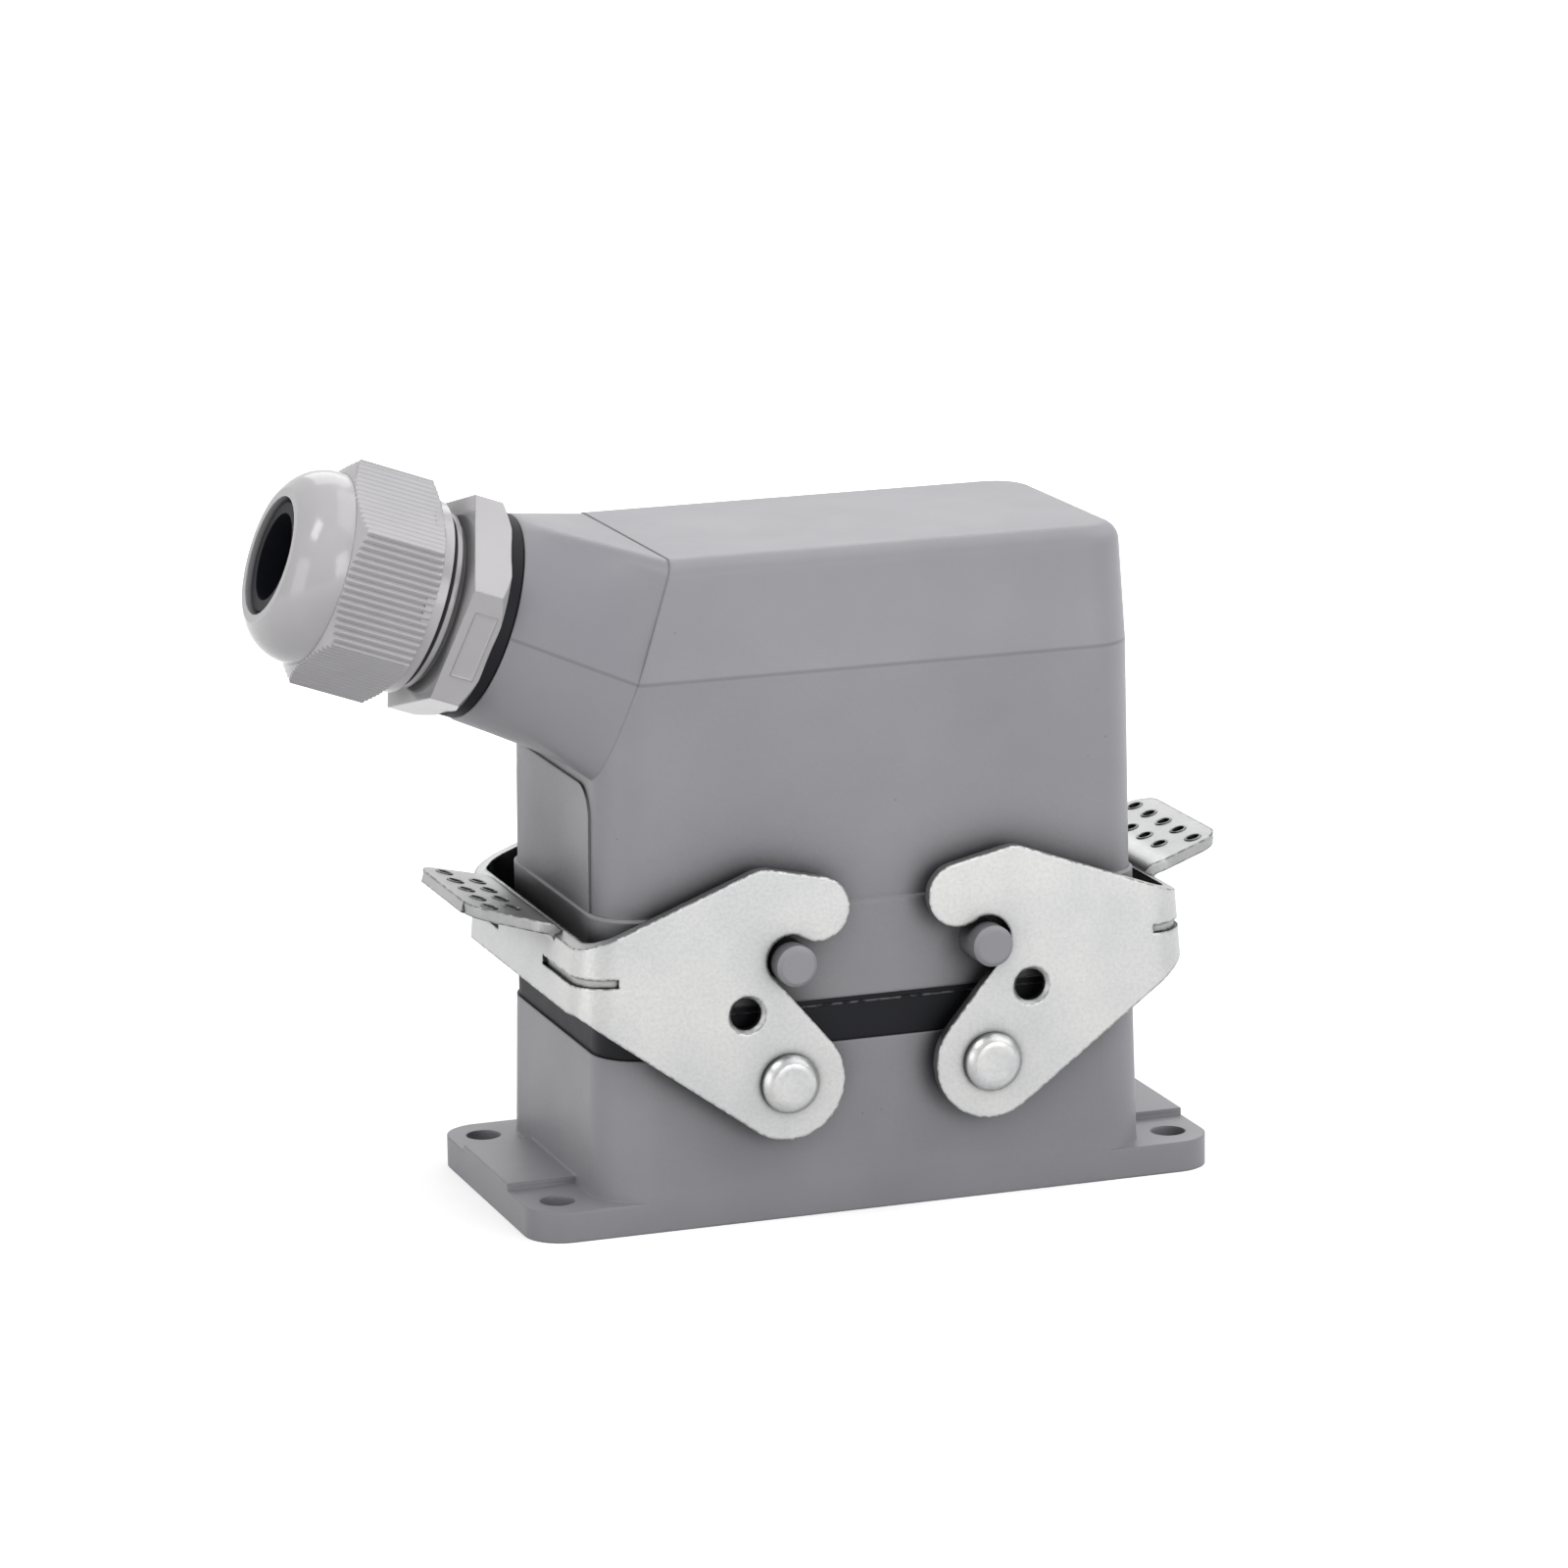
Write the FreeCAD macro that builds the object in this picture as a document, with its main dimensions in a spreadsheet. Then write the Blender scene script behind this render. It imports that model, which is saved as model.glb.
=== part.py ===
import FreeCAD, Part
import math
import os

import Sketcher
from FreeCAD import Placement, Rotation, Vector

# Heavy duty rectangular connector: a flanged base with two locking levers, a hood
# with an angled cable neck, a cable gland, and the mated contact inserts inside.
# Origin: centre of the flange's underside. +X is the long side, away from the gland,
# -Y is the front, +Z is up.

doc = FreeCAD.newDocument("rectangular_connector")
sheet = doc.addObject("Spreadsheet::Sheet", "sizes")

# Driving dimensions, in millimetres and degrees
DRIVING = [
    # Base housing and its flange
    ("body_length", 73.0),
    ("body_width", 43.0),
    ("body_corner", 6.5),
    ("foot_flare", 0.6),
    ("rim_height", 22.4),
    ("wall", 3.4),
    ("cavity_corner", 3.0),
    ("hole_offset", 5.0),
    ("hole_inset", 5.5),
    ("hole_edge", 4.6),
    ("hole_bore", 4.5),
    ("flange_corner", 5.0),
    ("flange_thick", 4.0),
    ("platform_width", 19.0),
    ("platform_rise", 0.9),
    ("base_lug_foot", 5.0),
    ("base_lug_top", 11.0),
    # Seals
    ("seal_height", 5.7),
    ("seal_set_back", 0.3),
    ("tongue_width", 1.4),
    ("tongue_depth", 1.0),
    ("groove_play", 0.05),
    # Hood
    ("skirt_height", 12.4),
    ("skirt_proud", 0.35),
    ("panel_proud", 0.3),
    ("panel_corner", 4.0),
    ("crease_rise", 42.1),
    ("top_rise", 14.85),
    ("hood_taper_end", 0.55),
    ("hood_taper_side", 2.15),
    ("hood_edge_round", 2.6),
    ("roof_thick", 3.0),
    ("hood_lug_rise", 13.9),
    ("hood_lug_height", 8.0),
    ("peg_offset", 13.1),
    ("peg_rise", 6.1),
    ("peg_bore", 5.3),
    ("peg_proud", 2.55),
    ("peg_chamfer", 0.5),
    # Cable neck
    ("neck_tilt", 20.0),
    ("neck_root_inset", 5.7),
    ("neck_root_drop", 13.95),
    ("neck_root_ledge", 0.15),
    ("neck_length", 15.3),
    ("neck_end_bore", 27.0),
    ("neck_end_round", 0.8),
    ("neck_thread_bore", 22.04),
    ("neck_thread_depth", 11.0),
    # Locking levers, laid out for the right-hand one
    ("lever_sheet", 1.5),
    ("lever_side_gap", 2.05),
    ("lever_end_gap", 2.65),
    ("lever_bend", 5.0),
    ("bridge_level", 33.0),
    ("bridge_lean", 5.0),
    ("bridge_rise", 4.6),
    ("bridge_drop", 3.6),
    ("crease_level", 33.7),
    ("crease_height", 1.1),
    ("crease_depth", 0.5),
    ("crease_run", 10.6),
    ("pivot_offset", 13.6),
    ("pivot_height", 18.7),
    ("pivot_lobe", 7.4),
    ("pivot_bore", 6.1),
    ("notch_radius", 3.2),
    ("notch_lift", 0.35),
    ("hook_inset", 3.7),
    ("hook_rise", 6.5),
    ("hook_radius", 4.1),
    ("crown_step", 7.2),
    ("crown_rise", 5.7),
    ("crown_round", 4.0),
    ("eye_step", 5.45),
    ("eye_rise", 9.3),
    ("eye_bore", 4.0),
    ("eye_chamfer", 0.5),
    ("tab_root_width", 27.0),
    ("tab_end_width", 23.0),
    ("tab_length", 10.0),
    ("tab_rise", 4.4),
    ("tab_slope", 15.3),
    ("tab_bend", 2.6),
    ("tab_corner", 3.4),
    ("tab_waist", 1.6),
    ("dimple_bore", 1.7),
    ("dimple_depth", 0.7),
    ("dimple_pitch", 4.9),
    ("dimple_row_gap", 3.8),
    ("dimple_edge_gap", 3.1),
    # Pivot pins
    ("pin_head_bore", 7.5),
    ("pin_head_thick", 1.6),
    ("pin_journal_bore", 6.0),
    ("pin_shoulder_bore", 8.6),
    ("pin_shank_bore", 5.0),
    ("pin_head_chamfer", 0.9),
    ("running_gap", 0.1),
    ("seat_gap", 0.02),
    # Contact inserts
    ("ear_gap", 1.1),
    ("ear_edge", 3.5),
    ("ear_thick", 4.0),
    ("block_gap", 1.5),
    ("block_step", 0.8),
    ("block_foot", 5.2),
    ("block_corner", 1.0),
    ("plug_top_gap", 2.0),
    ("collar_wall", 2.0),
    ("collar_gap", 0.3),
    ("collar_rise", 9.5),
    ("pin_block_rise", 16.0),
    ("contact_pitch", 8.0),
    ("contact_rows", 12.0),
    ("contact_bore", 4.0),
    ("contact_pin_bore", 2.5),
    ("contact_pin_lift", 2.0),
    ("contact_cover", 1.2),
    ("contact_top_cover", 3.0),
    ("contact_play", 0.04),
    ("contact_lead", 0.5),
    ("terminal_head_bore", 4.2),
    ("terminal_head_thick", 1.6),
    ("terminal_shank_bore", 2.6),
    ("terminal_sink", 0.6),
    ("terminal_play", 0.15),
    ("insert_screw_bore", 3.0),
    ("insert_screw_head", 5.8),
    ("insert_screw_head_thick", 2.8),
    ("insert_screw_grip", 4.8),
    ("insert_screw_play", 0.2),
    ("earth_plate_length", 6.0),
    ("earth_plate_width", 13.0),
    ("earth_plate_thick", 1.0),
    ("earth_screw_bore", 3.2),
    ("earth_screw_head", 6.0),
    ("earth_screw_head_thick", 2.0),
    ("earth_screw_grip", 2.6),
    # Cable gland, measured outward from the neck's end face
    ("washer_bore", 26.6),
    ("washer_thick", 1.5),
    ("gland_flange_flats", 26.2),
    ("gland_flange_turn", 46.1),
    ("gland_flange_thick", 5.0),
    ("gland_bevel_bore", 27.2),
    ("gland_bevel_thick", 1.2),
    ("gland_collar_bore", 23.0),
    ("gland_collar_thick", 1.6),
    ("gland_recess_bore", 21.0),
    ("gland_recess", 0.9),
    ("gland_spigot", 10.0),
    ("gland_nose_bore", 20.2),
    ("gland_nose_length", 8.7),
    ("gland_throat_bore", 14.6),
    ("claw_seat_sink", 0.7),
    ("claw_bore", 16.8),
    ("claw_wall", 1.3),
    ("claw_length", 15.4),
    ("claw_tip", 1.5),
    ("claw_slot", 1.2),
    ("claw_root", 5.0),
    ("claw_slots", 4.0),
    ("seal_sleeve_wall", 1.4),
    ("seal_sleeve_proud", 3.6),
    ("nut_gap", 0.8),
    ("nut_skirt", 1.4),
    ("nut_hexagon", 11.3),
    ("nut_dome", 6.8),
    ("nut_corners", 29.2),
    ("nut_front_run", 0.5),
    ("nut_front_bevel", 1.2),
    ("nut_bevel", 0.7),
    ("nut_bevel_bore", 25.8),
    ("nut_skirt_bore", 24.8),
    ("nut_mouth_bore", 15.2),
    ("nut_lip", 1.1),
    ("nut_cone_gap", 2.5),
    ("nut_cone_run", 1.5),
    ("rib_depth", 0.45),
    ("ribs_per_flat", 16.0),
]


class Size:
    """A number together with the sheet formula that gives it."""

    def __init__(self, number, formula):
        self.number = float(number)
        self.formula = formula

    def __add__(self, other):
        return join(self, other, "+", self.number + numeric(other))

    def __radd__(self, other):
        return join(other, self, "+", self.number + numeric(other))

    def __sub__(self, other):
        return join(self, other, "-", self.number - numeric(other))

    def __rsub__(self, other):
        return join(other, self, "-", numeric(other) - self.number)

    def __mul__(self, other):
        return join(self, other, "*", self.number * numeric(other))

    def __rmul__(self, other):
        return join(other, self, "*", self.number * numeric(other))

    def __truediv__(self, other):
        return join(self, other, "/", self.number / numeric(other))

    def __neg__(self):
        return join(0.0, self, "-", -self.number)


def numeric(value):
    """The plain number of a size or a number."""
    return value.number if isinstance(value, Size) else float(value)


def formula(value):
    """The sheet formula of a size or a number."""
    return value.formula if isinstance(value, Size) else repr(float(value))


def join(left, right, sign, number):
    """Two sizes joined by one arithmetic sign."""
    return Size(number, "(" + formula(left) + " " + sign + " " + formula(right) + ")")


class Sizes:
    """The sheet's cells, each read by its alias."""


S = Sizes()
for row, (alias, number) in enumerate(DRIVING, start=1):
    sheet.set("A" + str(row), alias.replace("_", " "))
    sheet.set("B" + str(row), str(number))
    sheet.setAlias("B" + str(row), alias)
    setattr(S, alias, Size(number, "sizes." + alias))
doc.recompute()

# Heights and places that follow from the driving sizes
HOLE_PITCH_X = S.body_length + 2 * S.hole_offset
HOLE_PITCH_Y = S.body_width - 2 * S.hole_inset
FLANGE_LENGTH = HOLE_PITCH_X + 2 * S.hole_edge
PLATFORM_TOP = S.flange_thick + S.platform_rise
CAVITY_LENGTH = S.body_length - 2 * S.wall
CAVITY_WIDTH = S.body_width - 2 * S.wall
HOOD_RIM = S.rim_height + S.seal_height
HOOD_CREASE = HOOD_RIM + S.crease_rise
HOOD_TOP = HOOD_CREASE + S.top_rise
HOOD_LUG_FOOT = HOOD_RIM + S.hood_lug_rise
UPPER_LENGTH = S.body_length - 2 * S.skirt_proud
UPPER_WIDTH = S.body_width - 2 * S.skirt_proud
CREASE_LENGTH = UPPER_LENGTH - 2 * S.hood_taper_end
TOP_WIDTH = UPPER_WIDTH - 2 * S.hood_taper_side
CHEEK_INNER = S.body_width / 2 + S.lever_side_gap
LEVER_FACE = CHEEK_INNER + S.lever_sheet
LEVER_REACH = S.body_length / 2 + S.lever_end_gap + S.lever_sheet
BRIDGE_TOP = S.bridge_level + S.bridge_rise
BRIDGE_FOOT = S.bridge_level - S.bridge_drop
PEG_HEIGHT = HOOD_RIM + S.peg_rise
PEG_REACH = LEVER_FACE + S.peg_proud
HOOK_OFFSET = S.peg_offset - S.hook_inset
HOOK_HEIGHT = PEG_HEIGHT + S.hook_rise
CROWN_HEIGHT = HOOK_HEIGHT + S.crown_rise
TAB_REACH = LEVER_REACH + S.tab_length
TAB_HEIGHT = BRIDGE_TOP + S.tab_rise
EAR_LENGTH = CAVITY_LENGTH - 2 * S.ear_gap
EAR_WIDTH = CAVITY_WIDTH - 2 * S.ear_gap
INSERT_PITCH_X = EAR_LENGTH - 2 * S.ear_edge
INSERT_PITCH_Y = EAR_WIDTH - 2 * S.ear_edge
BLOCK_LENGTH = INSERT_PITCH_X - S.earth_plate_length - 2 * S.block_gap
BLOCK_WIDTH = EAR_WIDTH - 2 * S.block_step
PLUG_LENGTH = BLOCK_LENGTH - 2 * (S.collar_wall + S.collar_gap)
PLUG_WIDTH = BLOCK_WIDTH - 2 * (S.collar_wall + S.collar_gap)
PLUG_SEAT = S.base_lug_top + S.ear_thick
PIN_EAR_FOOT = HOOD_LUG_FOOT - S.ear_thick
PLUG_TOP = PIN_EAR_FOOT - S.plug_top_gap
COLLAR_FOOT = PLUG_SEAT + S.collar_rise
PIN_BLOCK_TOP = HOOD_LUG_FOOT + S.pin_block_rise
SOCKET_TERMINAL_LEVEL = (S.block_foot + S.base_lug_top) / 2
PIN_TERMINAL_LEVEL = (HOOD_LUG_FOOT + PIN_BLOCK_TOP) / 2
SOCKET_FOOT = S.block_foot + S.contact_cover
PIN_TIP = PLUG_SEAT + S.contact_pin_lift
GLAND_FLANGE_FRONT = S.washer_thick + S.gland_flange_thick
GLAND_COLLAR_FRONT = GLAND_FLANGE_FRONT + S.gland_collar_thick
GLAND_NOSE_FRONT = GLAND_COLLAR_FRONT + S.gland_nose_length
CLAW_SEAT = GLAND_COLLAR_FRONT + S.claw_seat_sink
CLAW_FRONT = CLAW_SEAT + S.claw_length
SLEEVE_FRONT = CLAW_FRONT + S.seal_sleeve_proud
NUT_REAR = GLAND_COLLAR_FRONT + S.nut_gap
NUT_HEX_REAR = NUT_REAR + S.nut_skirt
NUT_HEX_FRONT = NUT_HEX_REAR + S.nut_hexagon
NUT_FRONT = NUT_HEX_FRONT + S.nut_dome
NUT_CONE_REAR = GLAND_NOSE_FRONT + S.nut_cone_gap
LEVER_WIDTH = 2 * LEVER_FACE
AXIS_Y = Vector(0, 1, 0)
AXIS_Z = Vector(0, 0, 1)


# Helpers for bodies and sketches

def new_body(label):
    """A design body with its own label."""
    body = doc.addObject("PartDesign::Body", label)
    body.Label = label
    return body


def new_sketch(body, name, role, height=0.0, placement=None):
    """A sketch on one of the body's origin planes, lifted along the plane's normal."""
    sketch = body.newObject("Sketcher::SketchObject", body.Label + "_" + name)
    for item in body.Origin.OriginFeatures:
        if item.Role == role:
            sketch.AttachmentSupport = (item, [""])
    sketch.MapMode = "FlatFace"
    if placement is not None:
        sketch.AttachmentOffset = placement
        return sketch
    sketch.AttachmentOffset = Placement(Vector(0, 0, numeric(height)), Rotation())
    if isinstance(height, Size):
        sketch.setExpression("AttachmentOffset.Base.z", height.formula)
    return sketch


def bind(item, name, value):
    """Ties one property of a feature to a sheet formula."""
    setattr(item, name, numeric(value))
    if isinstance(value, Size):
        item.setExpression(name, value.formula)


def measure(sketch, kind, parts, value):
    """Adds one driving constraint and ties it to a sheet formula."""
    index = sketch.addConstraint(Sketcher.Constraint(kind, *parts, numeric(value)))
    if isinstance(value, Size):
        name = "size_" + str(index)
        sketch.renameConstraint(index, name)
        sketch.setExpression("Constraints." + name, value.formula)


def place_point(sketch, element, end, x_value, y_value):
    """Fixes one point of a sketch by its distances from the sketch's origin."""
    for kind, value, axis in (("DistanceX", x_value, -2), ("DistanceY", y_value, -1)):
        number = numeric(value)
        if abs(number) < 1e-9:
            sketch.addConstraint(Sketcher.Constraint("PointOnObject", element, end, axis))
        elif number > 0:
            measure(sketch, kind, (-1, 1, element, end), value)
        else:
            measure(sketch, kind, (element, end, -1, 1), -value if isinstance(value, Size) else -number)


def circle(sketch, x_value, y_value, bore):
    """A circle of a given diameter at a fixed place."""
    centre = Vector(numeric(x_value), numeric(y_value), 0)
    index = sketch.addGeometry(Part.Circle(centre, AXIS_Z, numeric(bore) / 2), False)
    measure(sketch, "Diameter", (index,), bore)
    place_point(sketch, index, 3, x_value, y_value)


def polygon(sketch, points):
    """A closed outline of straight lines through fixed points."""
    spots = [Vector(numeric(x), numeric(y), 0) for x, y in points]
    count = len(points)
    first = None
    for step in range(count):
        line = Part.LineSegment(spots[step], spots[(step + 1) % count])
        index = sketch.addGeometry(line, False)
        first = index if first is None else first
        place_point(sketch, index, 1, *points[step])
    for step in range(count):
        following = first + (step + 1) % count
        sketch.addConstraint(Sketcher.Constraint("Coincident", first + step, 2, following, 1))


def rectangle(sketch, x_low, x_high, y_low, y_high):
    """A rectangle between two corners."""
    polygon(sketch, [(x_low, y_low), (x_high, y_low), (x_high, y_high), (x_low, y_high)])


def rounded_rectangle(sketch, length, width, corner):
    """A rectangle with round corners, centred on the sketch's origin."""
    reach_x = numeric(length) / 2
    reach_y = numeric(width) / 2
    radius = numeric(corner)
    flat_x = reach_x - radius
    flat_y = reach_y - radius
    base = sketch.GeometryCount
    lines = [((-flat_x, -reach_y), (flat_x, -reach_y)), ((reach_x, -flat_y), (reach_x, flat_y)),
             ((flat_x, reach_y), (-flat_x, reach_y)), ((-reach_x, flat_y), (-reach_x, -flat_y))]
    for start, end in lines:
        sketch.addGeometry(Part.LineSegment(Vector(*start, 0), Vector(*end, 0)), False)
    centres = [(flat_x, -flat_y), (flat_x, flat_y), (-flat_x, flat_y), (-flat_x, -flat_y)]
    for step, centre in enumerate(centres):
        start = (step - 1) * math.pi / 2
        ring = Part.Circle(Vector(*centre, 0), AXIS_Z, radius)
        sketch.addGeometry(Part.ArcOfCircle(ring, start, start + math.pi / 2), False)
    for step in range(4):
        arc = base + 4 + step
        sketch.addConstraint(Sketcher.Constraint("Tangent", base + step, 2, arc, 1))
        sketch.addConstraint(Sketcher.Constraint("Tangent", arc, 2, base + (step + 1) % 4, 1))
        kind = "Horizontal" if step % 2 == 0 else "Vertical"
        sketch.addConstraint(Sketcher.Constraint(kind, base + step))
    for step in range(1, 4):
        sketch.addConstraint(Sketcher.Constraint("Equal", base + 4, base + 4 + step))
    measure(sketch, "Radius", (base + 4,), corner)
    measure(sketch, "DistanceX", (base + 3, 1, base + 1, 1), length)
    measure(sketch, "DistanceY", (base, 1, base + 2, 1), width)
    sketch.addConstraint(Sketcher.Constraint("Symmetric", base, 1, base + 2, 1, -1, 1))


def outline(sketch, curves):
    """A closed chain of worked-out lines and arcs, each held where it is drawn."""
    first = sketch.GeometryCount
    count = len(curves)
    for curve in curves:
        sketch.addGeometry(curve, False)
    for step in range(count):
        sketch.addConstraint(Sketcher.Constraint("Block", first + step))


def regular_polygon(sketch, sides, corner_reach, first_angle):
    """A regular polygon with its corners on a circle round the sketch's origin."""
    angles = [math.radians(first_angle + 360.0 * step / sides) for step in range(sides)]
    points = [(corner_reach * math.cos(a), corner_reach * math.sin(a)) for a in angles]
    polygon(sketch, points)


def pad(body, name, sketch, length, both_ways=False, backwards=False):
    """Adds the sketch's outline, drawn out to a length."""
    feature = body.newObject("PartDesign::Pad", body.Label + "_" + name)
    feature.Profile = sketch
    bind(feature, "Length", length)
    feature.SideType = "Symmetric" if both_ways else "One side"
    feature.Reversed = backwards
    doc.recompute()
    return feature


def pocket(body, name, sketch, length=None, both_ways=False, forwards=False):
    """Cuts the sketch's outline away, to a depth or right through."""
    before = body.Shape.Volume
    feature = body.newObject("PartDesign::Pocket", body.Label + "_" + name)
    feature.Profile = sketch
    if length is None:
        feature.Type = "ThroughAll"
    else:
        bind(feature, "Length", length)
    feature.SideType = "Symmetric" if both_ways else "One side"
    feature.Reversed = forwards
    doc.recompute()
    check_cut(body, name, before)
    return feature


def check_cut(body, name, before):
    """Stops the build when a cut removes nothing."""
    if body.Shape.Volume > before - 1e-4:
        raise ValueError(body.Label + " " + name + " cuts nothing")


def revolve(body, name, sketch, cut=False):
    """Turns the sketch's outline once round its vertical axis."""
    before = body.Shape.Volume if cut else 0.0
    kind = "PartDesign::Groove" if cut else "PartDesign::Revolution"
    feature = body.newObject(kind, body.Label + "_" + name)
    feature.Profile = sketch
    feature.ReferenceAxis = (sketch, ["V_Axis"])
    feature.Angle = 360.0
    doc.recompute()
    if cut:
        check_cut(body, name, before)
    return feature


def loft(body, name, sketches, cut=False):
    """A straight-sided loft through two or more sketches."""
    before = body.Shape.Volume if cut else 0.0
    kind = "PartDesign::SubtractiveLoft" if cut else "PartDesign::AdditiveLoft"
    feature = body.newObject(kind, body.Label + "_" + name)
    feature.Profile = sketches[0]
    feature.Sections = sketches[1:]
    feature.Ruled = True
    doc.recompute()
    if cut:
        check_cut(body, name, before)
    return feature


def edge_names(shape, wanted):
    """Names of the edges for which a test holds."""
    return ["Edge" + str(number) for number, edge in enumerate(shape.Edges, start=1) if wanted(edge)]


def soften(body, name, kind, size, wanted):
    """A fillet or chamfer on the edges for which a test holds."""
    base = body.Tip
    names = edge_names(base.Shape, wanted)
    feature = body.newObject("PartDesign::" + kind, body.Label + "_" + name)
    feature.Base = (base, names)
    bind(feature, "Radius" if kind == "Fillet" else "Size", size)
    doc.recompute()
    return feature


def at_level(edge, level):
    """True for an edge that lies wholly at one height."""
    box = edge.BoundBox
    return abs(box.ZMin - numeric(level)) < 1e-4 and abs(box.ZMax - numeric(level)) < 1e-4


def corner_signs():
    """The four sign pairs of a rectangle's corners."""
    return [(side_x, side_y) for side_x in (-1, 1) for side_y in (-1, 1)]


def four_circles(sketch, pitch_x, pitch_y, bore):
    """One circle at each corner of a rectangle of centres."""
    for side_x, side_y in corner_signs():
        circle(sketch, side_x * pitch_x / 2, side_y * pitch_y / 2, bore)


def wall_ring(body, name, level, width, height, cut=False):
    """A seal's ring along the middle of the housing's wall, as material or as a groove."""
    middle_length = S.body_length - S.wall
    middle_width = S.body_width - S.wall
    corner = S.body_corner - S.wall / 2
    sketch = new_sketch(body, name + "_outline", "XY_Plane", level)
    rounded_rectangle(sketch, middle_length + width, middle_width + width, corner + width / 2)
    rounded_rectangle(sketch, middle_length - width, middle_width - width, corner - width / 2)
    if cut:
        return pocket(body, name, sketch, height)
    return pad(body, name, sketch, height, backwards=True)


def four_lugs(body, name, level, height):
    """Screw lugs that fill the cavity's four corners."""
    reach_x = CAVITY_LENGTH / 2 + S.wall / 4
    reach_y = CAVITY_WIDTH / 2 + S.wall / 4
    inner_x = BLOCK_LENGTH / 2 + S.seal_set_back + S.running_gap
    inner_y = INSERT_PITCH_Y / 2 - S.insert_screw_head * 0.65
    sketch = new_sketch(body, name + "_outline", "XY_Plane", level)
    for side_x, side_y in corner_signs():
        spans_x = (inner_x, reach_x) if side_x > 0 else (-reach_x, -inner_x)
        spans_y = (inner_y, reach_y) if side_y > 0 else (-reach_y, -inner_y)
        rectangle(sketch, *spans_x, *spans_y)
    return pad(body, name, sketch, height)


# Base housing: die-cast, open below, with a flange for the panel screws

def build_base_housing():
    """The cast base with its flange, rim groove, screw lugs and pin bores."""
    body = new_body("base_housing")
    flange = new_sketch(body, "flange_outline", "XY_Plane")
    rounded_rectangle(flange, FLANGE_LENGTH, S.body_width, S.flange_corner)
    pad(body, "flange", flange, S.flange_thick)
    platform = new_sketch(body, "platform_outline", "XY_Plane")
    reach = FLANGE_LENGTH / 2
    half = S.platform_width / 2
    rectangle(platform, -reach, reach, -half, half)
    pad(body, "platform", platform, PLATFORM_TOP)
    foot = new_sketch(body, "foot_outline", "XY_Plane")
    rounded_rectangle(foot, S.body_length + 2 * S.foot_flare, S.body_width, S.body_corner)
    rim = new_sketch(body, "rim_outline", "XY_Plane", S.rim_height)
    rounded_rectangle(rim, S.body_length, S.body_width, S.body_corner)
    loft(body, "wall_block", [foot, rim])
    cavity = new_sketch(body, "cavity_outline", "XY_Plane", S.rim_height)
    rounded_rectangle(cavity, CAVITY_LENGTH, CAVITY_WIDTH, S.cavity_corner)
    pocket(body, "cavity", cavity)
    four_lugs(body, "lugs", S.base_lug_foot, S.base_lug_top - S.base_lug_foot)
    panel = new_sketch(body, "panel_holes", "XY_Plane", PLATFORM_TOP)
    four_circles(panel, HOLE_PITCH_X, HOLE_PITCH_Y, S.hole_bore)
    pocket(body, "panel_bores", panel)
    taps = new_sketch(body, "lug_holes", "XY_Plane", S.base_lug_top)
    four_circles(taps, INSERT_PITCH_X, INSERT_PITCH_Y, S.insert_screw_bore + 2 * S.seat_gap)
    pocket(body, "lug_bores", taps, S.base_lug_top - S.base_lug_foot + 1.0)
    pins = new_sketch(body, "pin_holes", "XZ_Plane")
    for side in (-1, 1):
        circle(pins, side * S.pivot_offset, S.pivot_height, S.pin_shank_bore + 2 * S.seat_gap)
    pocket(body, "pin_bores", pins, S.body_width + 2.0, both_ways=True)
    wall_ring(body, "rim_groove", S.rim_height, S.tongue_width + 2 * S.groove_play,
              S.tongue_depth + S.groove_play, cut=True)
    under = new_sketch(body, "gasket_groove_outline", "XY_Plane")
    middle_length = S.body_length - S.wall
    middle_width = S.body_width - S.wall
    corner = S.body_corner - S.wall / 2
    wide = S.tongue_width + 2 * S.groove_play
    rounded_rectangle(under, middle_length + wide, middle_width + wide, corner + wide / 2)
    rounded_rectangle(under, middle_length - wide, middle_width - wide, corner - wide / 2)
    pocket(body, "gasket_groove", under, S.tongue_depth + S.groove_play, forwards=True)
    return body


def build_flange_gasket():
    """The panel seal that lies in the groove under the base."""
    body = new_body("flange_gasket")
    wall_ring(body, "ring", S.tongue_depth, S.tongue_width, S.tongue_depth)
    return body


def build_mating_seal():
    """The rubber seal between base and hood, with a tongue in the base's rim."""
    body = new_body("mating_seal")
    band = new_sketch(body, "band_outline", "XY_Plane", S.rim_height)
    inset = 2 * S.seal_set_back
    rounded_rectangle(band, S.body_length - inset, S.body_width - inset, S.body_corner - S.seal_set_back)
    rounded_rectangle(band, CAVITY_LENGTH + inset, CAVITY_WIDTH + inset, S.cavity_corner)
    pad(body, "band", band, S.seal_height)
    wall_ring(body, "tongue", S.rim_height, S.tongue_width, S.tongue_depth)
    return body


# Hood: die-cast, with a neck that leaves its top corner towards the gland

def neck_frame(distance):
    """Place on the neck's axis, a distance out from its root, with local Z outward and X up."""
    tilt = math.radians(S.neck_tilt.number)
    root = Vector(-S.body_length.number / 2 + S.neck_root_inset.number, 0,
                  HOOD_TOP.number - S.neck_root_drop.number)
    outward = Vector(-math.cos(tilt), 0, math.sin(tilt))
    return Placement(root + outward * distance, Rotation(AXIS_Y, S.neck_tilt.number - 90.0))


def spot(x_value, y_value):
    """A point of a sketch."""
    return Vector(x_value, y_value, 0)


def round_corner(centre_x, centre_y, radius, start):
    """A quarter turn of a circle that begins at a given angle."""
    ring = Part.Circle(spot(centre_x, centre_y), AXIS_Z, radius)
    return Part.ArcOfCircle(ring, math.radians(start), math.radians(start + 90))


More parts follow.
